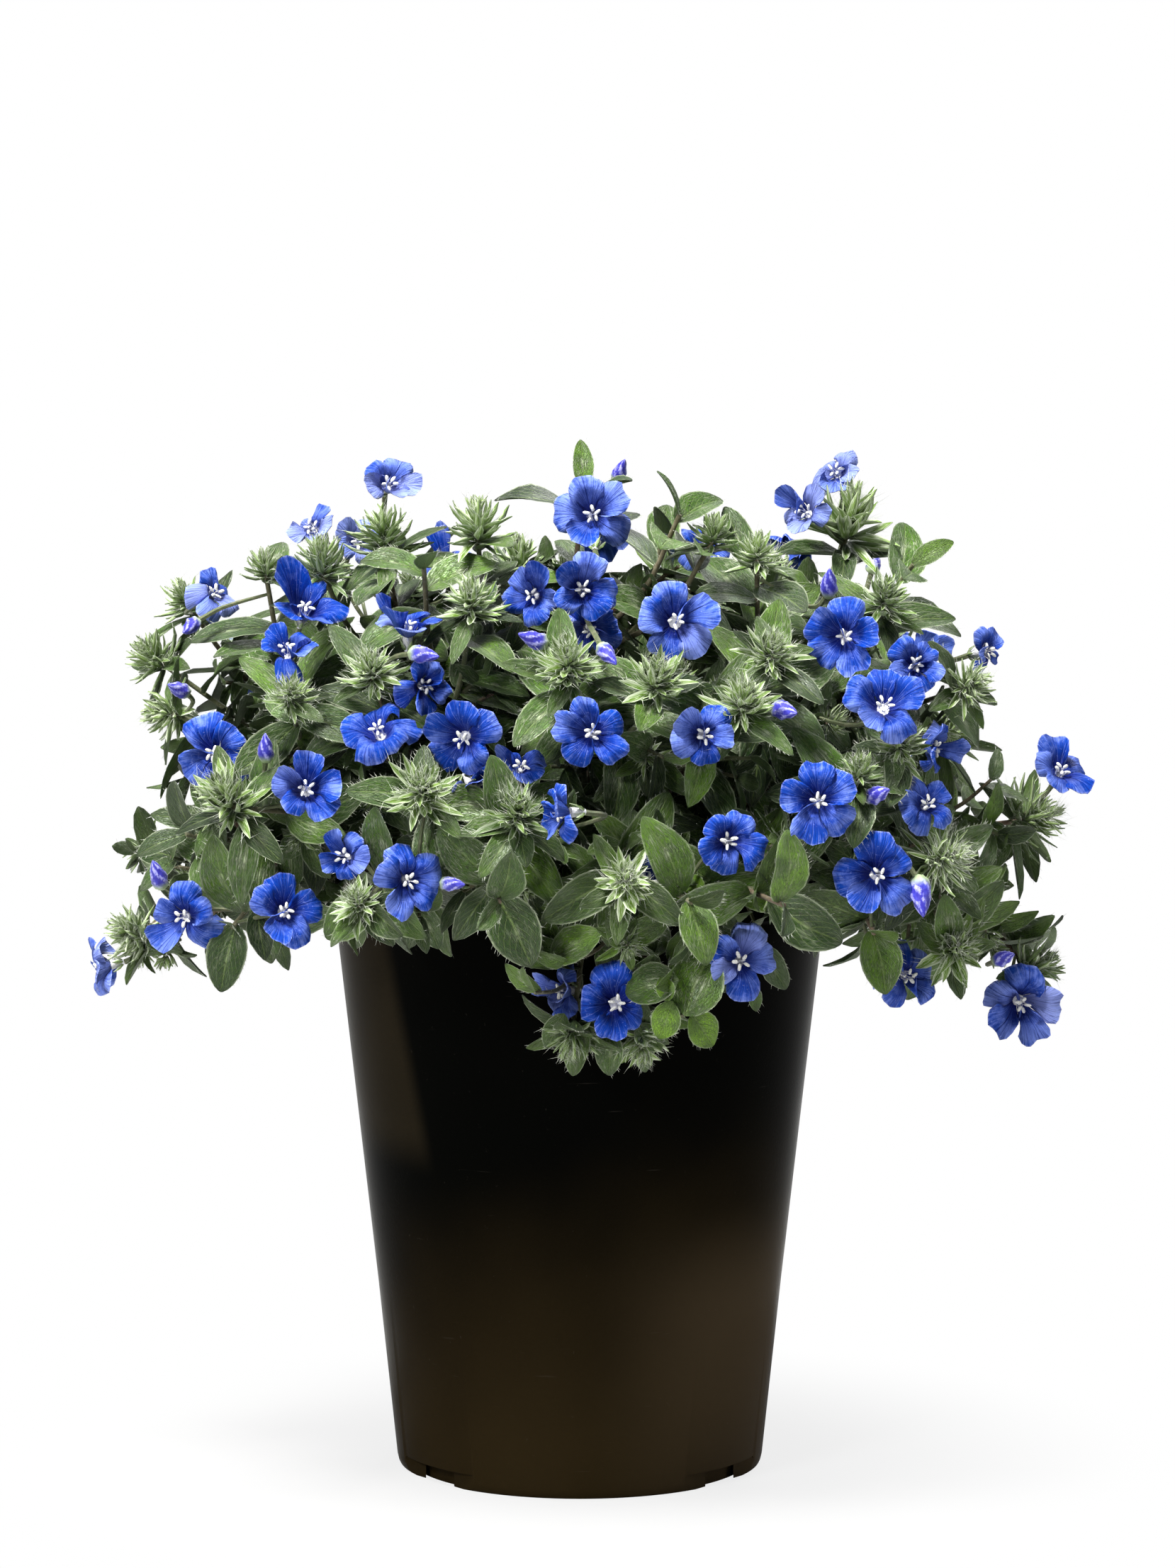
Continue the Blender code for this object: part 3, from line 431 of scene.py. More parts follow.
def stem_route(root, tip, direction, lift):
    """From the soil straight up, then over the rim where the tip is outside it, to the tip."""
    start = Vector((root.x, root.y, SHOOT_START_Z))
    span = (tip - start).length
    rise = start + upright(0.28 * span + lift * MM)
    lead = tip - direction * (0.38 * span)
    if math.hypot(tip.x, tip.y) > RIM_RADIUS * 0.9:
        lead.z = max(lead.z, POT_HEIGHT + 0.2 * span + lift * MM)
    return bezier((start, rise, lead, tip), 5)


def twig_route(stem, joint, tip, direction, lift):
    """A side branch from a joint of its stem, which bends from the stem's direction to its own."""
    joint = min(len(stem) - 2, max(1, joint))
    start = stem[joint]
    span = (tip - start).length
    growth = (stem[joint + 1] - stem[joint - 1]).normalized() + (tip - start).normalized()
    lead = tip - direction * (0.4 * span)
    if math.hypot(tip.x, tip.y) > RIM_RADIUS * 0.9:
        lead.z = max(lead.z, POT_HEIGHT + 0.1 * span + lift * MM)
    return bezier((start, start + growth * (0.14 * span), lead, tip), 3)


def stalk_choices(foot, face, routes):
    """Flower stalks from the places on its own stem that are nearest to a flower's foot."""
    spots = [below_tip(route, distance * MM)[0] for route in routes for distance in STALK_SPOTS]
    spots.sort(key=lambda spot: (spot - foot).length)
    made = []
    for spot in spots[:STALK_TRIES]:
        if (foot - spot).dot(face) > 0:
            elbow = foot - face * (0.35 * (spot - foot).length)
            made.append((spot, elbow.lerp(spot, 0.25), foot))
    return made


class Plan:
    """The whole plant as places and sizes, with no solids yet.

    space.takes(kind, owner, thing) says whether a thing may stand where it is put, and then keeps
    it there. space.drop() takes the last one away again.
    """

    def __init__(self, space):
        self.space = space
        self.stems = {}
        for name in STEMS:
            self.stems[name] = {"heads": [], "routes": [], "stalks": [], "buds": [], "leaves": []}
        self.blooms = []
        steps = (self.place_heads, self.place_routes, self.place_blooms, self.place_buds, self.place_leaves)
        for step in steps:
            for name, rows in STEMS.items():
                step(name, self.stems[name], rows)

    def first(self, kind, owner, choices):
        return next((thing for thing in choices if self.space.takes(kind, owner, thing)), None)

    def first_with_stalk(self, kind, owner, choices, stem_name):
        """The first choice that is clear and within reach of a clear stalk, from (thing, foot, face)."""
        stem = self.stems[stem_name]
        for thing, foot, face in choices:
            if self.space.takes(kind, owner, thing):
                stalk = self.first("stalk", stem_name, stalk_choices(foot, face, stem["routes"]))
                if stalk:
                    stem["stalks"].append(stalk)
                    return thing
                self.space.drop()
        return None

    def place_heads(self, name, stem, rows):
        for row in (*rows.heads, *rows.tips):
            direction = facing(row[3], row[4], rows.side)
            options = [(at, direction, row[5] * MM) for at in places(row, rows.side)]
            head = self.first("head", name, options) if row[5] else options[0]
            if head:
                stem["heads"].append(head)

    def place_routes(self, name, stem, rows):
        """The first head's route is the stem, and the others fork from it. One with no way is left out."""
        azimuth, radius = math.radians(rows.root[0]), rows.root[1] * MM
        root = Vector((radius * math.cos(azimuth), radius * math.sin(azimuth), SOIL_TOP - ROOT_DEPTH))
        stem["root"] = root
        reached = []
        for at, direction, length in stem["heads"]:
            tip = at - direction * (length * 0.3)
            if stem["routes"]:
                trunk, joint = stem["routes"][0], 3 - (len(stem["routes"]) + 1) % 2
                options = [
                    twig_route(trunk, joint + move, tip, direction, lift) for lift, move in ROUTE_MOVES
                ]
            else:
                options = [stem_route(root, tip, direction, lift) for lift, _ in ROUTE_MOVES]
            route = self.first("route", name, options)
            if route:
                stem["routes"].append(route)
                reached.append((at, direction, length))
        stem["heads"] = reached

    def place_blooms(self, name, stem, rows):
        for inner, group in enumerate(("blooms", "inner_blooms")):
            for number, row in enumerate(rows.inner_blooms if inner else rows.blooms):
                draw = random.Random(f"{name} {group} {number}")
                cup, roll = math.radians(draw.uniform(4, 22)), draw.uniform(0, 1.2)
                face = facing(row[3], row[4], rows.side)
                owner = name if inner else f"bloom_{name}_{number + 1}"
                sink = 1.5 * MM if inner else -GAP
                options = []
                for at in places(row, rows.side):
                    bloom = Bloom(at, face, row[5] / 2 * MM, cup, roll)
                    options.append((bloom, bloom.foot() + face * sink, face))
                bloom = self.first_with_stalk("bloom", owner, options, name)
                if bloom:
                    self.blooms.append({"owner": owner, "stem": name, "bloom": bloom})

    def place_buds(self, name, stem, rows):
        for row in rows.buds:
            direction, length = facing(row[3], row[4], rows.side), row[5] * MM
            options = []
            for at in places(row, rows.side):
                options.append(((at, direction, length), at - direction * (length * 0.35), direction))
            bud = self.first_with_stalk("bud", name, options, name)
            if bud:
                stem["buds"].append(bud)

    def place_leaves(self, name, stem, rows):
        for number, (route, head) in enumerate(zip(stem["routes"], stem["heads"])):
            start = random.Random(f"{name} {number}").uniform(0, math.tau)
            for index, row in enumerate(HEAD_LEAVES if head[2] else TIP_LEAVES):
                options = leaf_choices(f"{name} {number} {index}", route, row, start + index * GOLDEN_ANGLE)
                leaf = self.first("leaf", name, options)
                if leaf:
                    stem["leaves"].append(leaf)


# The solids' shapes, which say whether a thing is clear of the others where it is put.


def linked(name, data):
    """A new object in the scene."""
    obj = bpy.data.objects.new(name, data)
    bpy.context.scene.collection.objects.link(obj)
    return obj


@functools.lru_cache(maxsize=None)
def ball_grid(segments):
    """The faces of a ball of three bands, and the ring and segment of each of its vertices."""
    bm = bmesh.new()
    bmesh.ops.create_uvsphere(bm, u_segments=segments, v_segments=3, radius=1)
    spots = []
    for vert in bm.verts:
        ring = round(math.acos(max(-1.0, min(1.0, vert.co.z))) / math.pi * 3)
        spots.append((ring, round(math.atan2(vert.co.y, vert.co.x) / math.tau * segments) % segments))
    faces = [[vert.index for vert in face.verts] for face in bm.faces]
    bm.free()
    return spots, faces


LEAF_ROOT = ball_grid(3)[0].index((0, 0))


def reshaped_ball(segments, place):
    """A ball with each vertex moved to place(ring, segment). Rings 0 and 3 are its poles."""
    spots, faces = ball_grid(segments)
    return [place(*spot) for spot in spots], faces


def poly_curve(name, dimensions, points, radii):
    """A curve of straight pieces through these points."""
    curve = bpy.data.curves.new(name, "CURVE")
    curve.dimensions = dimensions
    spline = curve.splines.new("POLY")
    spline.points.add(len(points) - 1)
    for knot, point, radius in zip(spline.points, points, radii):
        knot.co = (*point, 1)
        knot.radius = radius
    return linked(name, curve)


def rod_section():
    """The three-sided section, 1 mm in radius, that every stem and stalk is swept with."""
    angles = [-math.tau * index / 3 for index in range(3)]
    corners = [(math.cos(angle) * MM, math.sin(angle) * MM, 0) for angle in angles]
    section = poly_curve("rod_section", "2D", corners, (1, 1, 1))
    section.data.splines[0].use_cyclic_u = True
    section.hide_render = True
    return section


def rod(points, radii):
    """A three-sided rod through these points, made as a bevelled curve with its caps welded on."""
    section = bpy.data.objects.get("rod_section") or rod_section()
    made = poly_curve("rod", "3D", points, [radius / MM for radius in radii])
    curve = made.data
    curve.bevel_mode = "OBJECT"
    curve.bevel_object = section
    curve.use_fill_caps = True
    graph = bpy.context.evaluated_depsgraph_get()
    mesh = bpy.data.meshes.new_from_object(made.evaluated_get(graph))
    bm = bmesh.new()
    bm.from_mesh(mesh)
    bmesh.ops.remove_doubles(bm, verts=bm.verts, dist=WELD)
    bmesh.ops.triangulate(bm, faces=bm.faces)
    bmesh.ops.recalc_face_normals(bm, faces=bm.faces)
    bm.verts.index_update()
    points = [vert.co.copy() for vert in bm.verts]
    faces = [[vert.index for vert in face.verts] for face in bm.faces]
    bm.free()
    bpy.data.objects.remove(made)
    bpy.data.curves.remove(curve)
    bpy.data.meshes.remove(mesh)
    return points, faces


def tapered(first, last, count):
    return [first + (last - first) * index / (count - 1) for index in range(count)]


def leaf_mesh(leaf):
    """An arched blade, sharp at its raised edges and thickest along the midrib on its lower side."""
    corners = ((1, 1), (-1, 1), (0, -1))
    return reshaped_ball(3, lambda ring, segment: leaf.point(ring / 3, *corners[segment]))


def spun(at, direction, length, segments, place):
    """A ball round an axis, by place(ring, segment): how far out and along, as shares of its length."""
    side, over = axes_about(direction)

    def point(ring, segment):
        reach, along = place(ring, segment)
        out = turned(side, over, math.tau * segment / segments)
        return at + direction * (length * along) + out * (length * reach)

    return reshaped_ball(segments, point)


def head_mesh(head):
    """A bract head: a core whose bracts stand out of it, the lowest ones widest."""
    core, spread = (0, 0.15, 0.12, 0), (0, 0.46, 0.32, 0)

    def place(ring, segment):
        bract = (ring + segment) % 2
        return (spread if bract else core)[ring], ring / 3 - 0.5 + (0.15 if bract else 0)

    return spun(*head, 6, place)


def bud_mesh(bud):
    """A closed bud, drawn out to a point."""
    radius = (0, 0.2, 0.17, 0)
    return spun(*bud, 4, lambda ring, segment: (radius[ring], ring / 3 - 0.5))


def bloom_mesh(bloom):
    """Five joined petals in a shallow funnel that narrows to a foot behind."""
    side, over = axes_about(bloom.face)
    centre, face = bloom.centre, bloom.face

    def place(ring, segment):
        angle = math.tau * segment / BLOOM_SEGMENTS
        throat = centre + turned(side, over, angle + bloom.roll) * (bloom.radius * 0.3) - face * MM
        return (bloom.foot(), bloom.rim(angle), throat, centre - face * (3 * MM))[ring]

    return reshaped_ball(BLOOM_SEGMENTS, place)


# The solid that stands for each kind of thing while it is being placed.
MESH_OF = {
    "route": lambda route: rod(route, tapered(STEM_RADIUS, TWIG_RADIUS, len(route))),
    "stalk": lambda route: rod(route, (STALK_RADIUS, STALK_RADIUS, CALYX_RADIUS)),
    "leaf": leaf_mesh,
    "head": head_mesh,
    "bud": bud_mesh,
    "bloom": bloom_mesh,
}


def in_pot(point):
    """Whether a point is in the pot's wall or soil, or too close to them."""
    radius = math.hypot(point.x, point.y)
    clear_of_soil = radius < WALL_TOP_RADIUS - 2.5 * MM and point.z > SOIL_TOP + SOIL_DOME + 0.5 * MM
    return point.z < POT_HEIGHT + 0.5 * MM and radius < RIM_RADIUS + MM and not clear_of_soil


class Space:
    """Remembers what has been placed. A thing is let in only where it is clear of every other owner's.

    Leaves, heads, buds and blooms are kept off those of their own stem too, apart from a leaf's root.
    """

    def __init__(self):
        self.placed = []

    def drop(self):
        self.placed.pop()

    def takes(self, kind, owner, thing):
        points, faces = MESH_OF[kind](thing)
        if any(self.edge_in_pot(points, face) for face in faces):
            return False
        low = Vector([min(spots) - CLEARANCE for spots in zip(*points)])
        high = Vector([max(spots) + CLEARANCE for spots in zip(*points)])
        tree = BVHTree.FromPolygons(points, faces)
        outer = tree
        if kind == "leaf":
            outer = BVHTree.FromPolygons(points, [face for face in faces if LEAF_ROOT not in face])
        for other_kind, other_owner, other_points, other_low, other_high, other in self.placed:
            if any(low[axis] > other_high[axis] or high[axis] < other_low[axis] for axis in range(3)):
                continue
            if other_owner == owner:
                if kind not in ("route", "stalk") and other_kind != "route" and outer.overlap(other):
                    return False
            elif tree.overlap(other) or self.too_near(points, other) or self.too_near(other_points, tree):
                return False
        self.placed.append((kind, owner, points, low, high, outer))
        return True

    @staticmethod
    def edge_in_pot(points, face):
        for start, end in zip(face, face[1:] + face[:1]):
            if any(in_pot(points[start].lerp(points[end], step / 4)) for step in range(4)):
                return True
        return False

    @staticmethod
    def too_near(points, tree):
        """Whether any of these points is within the clearance of a solid, or the first is inside it."""
        for point in points:
            if tree.find_nearest(point)[3] < CLEARANCE:
                return True
        spot, normal, _, distance = tree.find_nearest(points[0])
        return (points[0] - spot).dot(normal) < 0 and distance < 2 * MM


# The finer shapes that stand for the solids. A blade has this many rows along it.
LEAF_ROWS = 9
SMALL_LEAF_ROWS = 6
BACK_LEAF_ROWS = 5
BRACT_ROWS = 4
SMALL_BRACT_ROWS = 3
# The corners of a blade's section: how far across, and 1 on the upper face, -1 on the lower or 0 at
# the edge.
BLADE_RING = (
    (-1, 0), (-0.72, 1), (-0.36, 1), (0, 1), (0.36, 1), (0.72, 1), (1, 0), (0.55, -1), (0, -1), (-0.55, -1),
)
SMALL_RING = ((-1, 0), (-0.5, 1), (0, 1), (0.5, 1), (1, 0), (0, -1))
BRACT_RING = ((-1, 0), (0, 1), (1, 0), (0, -1))
BLADE_THICKNESS = 0.4 * MM
RIPPLE = 0.12
PETAL_ROWS = 10
PETAL_COLUMNS = 11
PETAL_THICKNESS = 0.3 * MM
BUD_ROWS = 12
BUD_SIDES = 20
HAIR_RADIUS = 0.055 * MM
# What is farther back than this has fewer hairs, bracts and rows.
BACK_HALF = 40 * MM
BACK_BRACTS = 0.65
# How many bracts a head of full length has, the fewest that any has, and how many a side shoot's has.
FULL_HEAD = 15 * MM
HEAD_BRACTS = 78
FEWEST_BRACTS = 38
SMALL_HEAD_BRACTS = 36
# Hairs round each kind of blade, and their usual length.
LEAF_HAIRS = 26
SMALL_LEAF_HAIRS = 10
HANGING_LEAF_HAIRS = 10
BRACT_HAIRS = 5
SMALL_BRACT_HAIRS = 3
LEAF_HAIR = 1.7 * MM
HANGING_LEAF_HAIR = 1.3 * MM
POT_SEGMENTS = 160
POT_SOFTNESS = 0.25 * MM
SOIL_SIDES = 96
SOIL_RINGS = 26
SOIL_GRAIN = 220
SOIL_ROUGHNESS = 1.3
CRUMBS = 240
# The middle of the UV map, the tint of what has none of its own, and the tints of a flower's and a
# bud's sepals.
MIDDLE = (0.5, 0.5)
PLAIN = (0, 0, 0, 1)
SEPAL_TINT = (0.5, 0.3, 0.3)
BUD_SEPAL_TINT = (0.5, 0.4, 0.3)

# What closes the mound between the things that the plan placed, and over the rim.
FILL_MOUND_RADII = Vector((162, 130, 124)) * MM
SIGHT_SHARE = 0.72
SIGHT_REACH = 60 * MM
FIRST_SIDE_SHOOT = 14
SIDE_SHOOT_SPACING = 19
CLEAR_BRANCH_END = 12
SIDE_SHOOT_TRIES = 6
SIDE_SHOOT_REACH = (16, 34)
SIDE_HEAD_CHANCE = 0.55
SIDE_HEAD_LENGTH = (8, 11.5)
SIDE_LEAVES = (
    (0.5, 13, 6.5, 28), (3, 17, 8.5, 50), (7, 20, 10, 64), (12, 21, 11, 74), (18, 20, 10, 82),
    (24, 19, 9.5, 86),
)
LOWEST_FILL = 165 * MM
LOWEST_ROSETTE = 125 * MM
LOWEST_RIM_LEAF = 160 * MM
GAP_SHOOTS = 64
UNDER_SOIL = Vector((0, 0, 9)) * MM
RIM_SHOOTS = 38
RIM_LEAVES = ((0.5, 15, 8, 30), (4, 19, 10.5, 58), (9, 22, 12, 70), (15, 22, 12, 78), (22, 19, 10, 84))
# The leaves that hang over the rim in front, as seen: foot, tip, width, distance before the axis and
# freshness.
HANGING_LEAVES = (
    (42, 189, 27, 201, 12, 108, 0.15), (40, 184, 32, 191, 7, 111, 0.9), (40, 182, 25, 177, 9, 109, 0.7),
    (41, 184, 39, 166, 9, 110, 0.35), (34, 145, 42, 166, 19.5, 107, 0.25), (30, 150, 25, 137, 9.5, 108, 1.0),
    (36, 146, 44, 135, 11, 96, 1.0), (32, 157, 14, 153, 13.5, 110, 0.1), (29, 150, 26, 158, 6, 112, 1.0),
    (-7, 178, -11, 162, 15, 93, 0.0), (-4, 182, -24, 172, 13, 99, 0.2), (10, 186, 2, 171, 5.5, 99, 0.2),
    (6, 189, -6, 202, 8, 108, 0.2), (49, 186, 72, 182, 13, 96, 0.5), (60, 168, 67, 153, 8, 92, 0.0),
    (56, 156, 57, 146, 4.5, 92, 0.1), (-5, 146, -11, 134, 8, 100, 0.1), (2, 142, -3, 125, 8, 98, 0.2),
    (10, 142, 9, 125, 9, 96, 0.0), (18, 142, 27, 134, 8, 98, 0.1), (20, 140, 22, 126, 7, 97, 0.1),
)
HANGING_TWIG = ((43, 193, 90), (42, 184, 98), (38, 168, 94), (34, 150, 98), (33, 145, 102))
# The stem that bears the hanging leaves. Stems with fresher leaves than the rest come next, then the blooms
# whose tone is given: 1 is the palest. A fused bloom goes by its stem and its number.
HANGING_STEM = "low_centre"
BRIGHT_STEMS = {"low_centre": 0.35, "right_low": 0.2}
PALE_BLOOMS = {
    "top_left 0": 0.95, "top_left 1": 0.8, "top_left 2": 1, "left_upper 0": 0.75, "top_right 0": 0.9,
    "bloom_top_centre_1": 0.9, "bloom_top_right_1": 0.8, "bloom_right_low_3": 0.7,
    "bloom_low_centre_2": 0.65, "bloom_left_low_2": 0.6, "bloom_left_upper_1": 0.05,
    "bloom_low_centre_3": 0.1, "bloom_centre_left_low_1": 0.15,
}


# Closed skins with veins and tints.


@functools.lru_cache(maxsize=None)
def tube_faces(rings, sides, slit):
    """Faces of a skin of rings between two poles. A slit is closed between its two lips instead."""

    def at(ring, side):
        return 1 + ring * sides + side % sides

    last = rings - 1
    quads = []
    for ring in range(last):
        for side in range(sides):
            quads.append((at(ring, side), at(ring, side + 1), at(ring + 1, side + 1), at(ring + 1, side)))
    triangles = [(0, at(0, side + 1), at(0, side)) for side in range(sides)]
    if not slit:
        end = 1 + rings * sides
        triangles += [(end, at(last, side), at(last, side + 1)) for side in range(sides)]
        return np.array(quads), np.array(triangles)
    half = sides // 2
    triangles.append((at(last, 0), at(last, 1), at(last, sides - 1)))
    triangles.append((at(last, half - 1), at(last, half), at(last, half + 1)))
    for side in range(1, half - 1):
        under = sides - side
        quads.append((at(last, side), at(last, side + 1), at(last, under - 1), at(last, under)))
    return np.array(quads), np.array(triangles)


class Surface:
    """Gathers closed skins, each with its own places for veins (UV) and its tint, for one piece."""

    def __init__(self):
        self.skins = []
        self.total = 0

    def add(self, points, quads, triangles, uvs, tints, slot=0):
        count = len(points)
        uvs, tints = np.broadcast_to(uvs, (count, 2)), np.broadcast_to(tints, (count, 4))
        slots = [np.full(len(faces), slot) for faces in (quads, triangles)]
        self.skins.append((points, uvs, tints, quads + self.total, triangles + self.total, *slots))
        self.total += count

    def skin(self, rings, uvs, tints, start, end=None, slot=0):
        """A skin from a point through its rings to a point, or to a slit where end is None."""
        count, sides = rings.shape[:2]

        def with_poles(values, first, last):
            last = [] if end is None else [[last]]
            return np.concatenate([[first], values.reshape(-1, values.shape[2]), *last])

        parts = [with_poles(rings, start, end)]
        for values, width in ((uvs, 2), (tints, 4)):
            values = np.broadcast_to(values, (count, sides, width))
            parts.append(with_poles(values, values[0].mean(axis=0), values[-1].mean(axis=0)))
        self.add(parts[0], *tube_faces(count, sides, end is None), *parts[1:], slot)

    def made(self, name, materials, sharp_angle=55):
        """The object that holds everything gathered."""
        gathered = [np.concatenate(values) for values in zip(*self.skins)]
        points, uvs, tints, quads, triangles, *slots = gathered
        mesh = bpy.data.meshes.new(name)
        mesh.from_pydata(points, [], quads.tolist() + triangles.tolist())
        for material in materials:
            mesh.materials.append(material)
        mesh.polygons.foreach_set("material_index", np.concatenate(slots).astype(np.int32))
        corners = np.empty(len(mesh.loops), np.int32)
        mesh.loops.foreach_get("vertex_index", corners)
        layer = mesh.uv_layers.new(name="blade")
        layer.data.foreach_set("uv", uvs[corners].astype(np.float32).ravel())
        tint = mesh.color_attributes.new("tint", "FLOAT_COLOR", "POINT")
        tint.data.foreach_set("color", tints.astype(np.float32).ravel())
        mesh.shade_smooth()
        mesh.set_sharp_from_angle(angle=math.radians(sharp_angle))
        return linked(name, mesh)


def numbers(*vectors):
    return [np.array(vector) for vector in vectors]


def column(values):
    return np.array(list(values))[:, None]


def eased(value, low, high):
    """0 below low, 1 above high, and smooth between."""
    share = np.clip((value - low) / (high - low), 0, 1)
    return share * share * (3 - 2 * share)


# Leaves, bracts, hairs, stems, petals and buds as they look.


def blade_frame(leaf, t):
    """Along each of these shares of a leaf's length: its half width, and the ways it points there."""
    base, along, normal = numbers(leaf.base, leaf.along, leaf.normal)
    sideways = np.cross(along, normal)
    half = leaf.width * 0.46 * np.maximum(0, np.sin(np.pi * t**0.9)) ** 0.66
    turn = leaf.droop * t / 2
    middle = along * np.cos(turn) - normal * np.sin(turn)
    over = normal * np.cos(turn * 2) + along * np.sin(turn * 2)
    return base, sideways, half, middle, over


def blade_points(leaf, t, across, up, ripple, bend, phase):
    """Places on a leaf, with its groove, its rounded fold and its rippled edge."""
    base, sideways, half, middle, over = blade_frame(leaf, t)
    rise = leaf.fold * np.abs(across) ** 1.3 * half + up * BLADE_THICKNESS / 2
    rise = rise - 0.3 * MM * np.exp(-((across / 0.25) ** 2)) * np.sin(np.pi * t)
    rise = rise + ripple * half * across**2 * np.sin(t * 9 + phase + np.sign(across) * 1.3)
    swing = across * half + bend * leaf.length * np.sin(np.pi * t) ** 2
    return base + middle * (leaf.length * t) + sideways * swing + over * rise


def add_blade(surface, leaf, tint, draw, rows=LEAF_ROWS, ring=BLADE_RING):
    """A thin closed blade. Its lower face has 1 in the tint's second number."""
    t = ((1 - np.cos(np.linspace(0.16, 0.93, rows) * np.pi)) / 2)[:, None, None]
    ring = np.array(ring, float)
    across, up = ring[None, :, 0, None], ring[None, :, 1, None]
    bend, phase = draw.uniform(-0.05, 0.05), draw.uniform(0, 6)
    rings = blade_points(leaf, t, across, up, draw.uniform(0.3, 1) * RIPPLE, bend, phase)
    v, u = np.broadcast_arrays(t[:, :, 0], across[:, :, 0] / 2 + 0.5)
    under = np.broadcast_to(np.where(up[:, :, 0] < 0, 1.0, 0.0), u.shape)
    shade, young, last = [np.full(u.shape, number) for number in tint]
    nought = np.zeros((1, 1))
    ends = [blade_points(leaf, nought + end, nought, nought, 0, 0, 0)[0] for end in (0, 1)]
    surface.skin(rings, np.stack((u, v), -1), np.stack((shade, under, young, last), -1), *ends)
    return bend


def add_spikes(surface, bases, directions, lengths):
    """Fine three-sided hairs."""
    bases, directions, lengths = np.array(bases), np.array(directions), np.array(lengths)
    directions = directions / np.linalg.norm(directions, axis=1, keepdims=True)
    side = np.cross(directions, (0.31, 0.17, 0.93))
    side /= np.linalg.norm(side, axis=1, keepdims=True)
    over = np.cross(side, directions)
    corners = [bases + turned(side, over, math.tau * corner / 3) * HAIR_RADIUS for corner in range(3)]
    points = np.stack((*corners, bases + directions * lengths[:, None]), axis=1)
    first = np.arange(len(bases))[:, None, None] * 4
    faces = (first + np.array(((0, 1, 2), (1, 0, 3), (2, 1, 3), (0, 2, 3)))).reshape(-1, 3)
    surface.add(points.reshape(-1, 3), np.zeros((0, 4), int), faces, MIDDLE, PLAIN)


def add_rim_hairs(surface, leaf, number, length, draw, bend=0.0):
    """Silky hairs along a leaf's edges, leaning to its tip. Leaves at the back carry fewer."""
    if leaf.base.y > BACK_HALF:
        number = (number + 1) // 2
    if not number:
        return
    t = column(draw.uniform(0.06, 0.99) for _ in range(number))
    sign = column(draw.choice((-1, 1)) for _ in range(number))
    base, sideways, half, middle, over = blade_frame(leaf, t)
    swing = sign * half * 0.97 + bend * leaf.length * np.sin(np.pi * t) ** 2
    bases = base + middle * (leaf.length * t) + sideways * swing + over * (leaf.fold * half)
    lean = column(draw.uniform(0.6, 2.2) for _ in range(number))
    lift = column(draw.uniform(-0.5, 0.8) for _ in range(number))
    lengths = [length * draw.uniform(0.5, 1.2) for _ in range(number)]
    add_spikes(surface, bases, sideways * sign + middle * lean + over * lift, lengths)


def smooth_route(points, steps=4):
    """A smooth curve through these points."""
    points = [Vector(point) for point in points]
    ends = [points[0] * 2 - points[1]] + points + [points[-1] * 2 - points[-2]]
    made = []
    for before, start, end, after in zip(ends, ends[1:], ends[2:], ends[3:]):
        for step in range(steps):
            t = step / steps
            square = (before * 2 - start * 5 + end * 4 - after) * t**2
            cube = (start * 3 - before - end * 3 + after) * t**3
            made.append((start * 2 + (end - before) * t + square + cube) / 2)
    return made + [points[-1]]


def add_tube(surface, route, radii, sides, tint, slot=0):
    """A round stem along a route."""
    rings = []
    side = None
    for index, point in enumerate(route):
        ahead = route[min(index + 1, len(route) - 1)] - route[max(index - 1, 0)]
        ahead.normalize()
        side = ahead.orthogonal() if side is None else side - ahead * side.dot(ahead)
        side.normalize()
        over = side.cross(ahead)
        angles = [-math.tau * corner / sides for corner in range(sides)]
        rings.append([point + turned(side, over, angle) * radii[index] for angle in angles])
    surface.skin(np.array(rings), MIDDLE, tint, *numbers(route[0], route[-1]), slot)


def add_stem(surface, hairs, route, first, last, draw, small=False):
    """A downy stem: a round tube with short hairs."""
    route = smooth_route(route)
    add_tube(surface, route, tapered(first, last, len(route)), 5 if small else 7, (draw.random(), 0, 0, 1))
    bases, directions, lengths = [], [], []
    for _ in range((2 if small else 5) * len(route)):
        place = draw.uniform(0, len(route) - 1.001)
        start, end = route[int(place)], route[int(place) + 1]
        ahead = (end - start).normalized()
        out = turned(*axes_about(ahead), draw.uniform(0, math.tau))
        bases.append(start.lerp(end, place % 1) + out * (last * 0.8))
        directions.append(out + ahead * draw.uniform(0, 0.8))
        lengths.append(draw.uniform(0.8, 1.8) * MM)
    add_spikes(hairs, bases, directions, lengths)


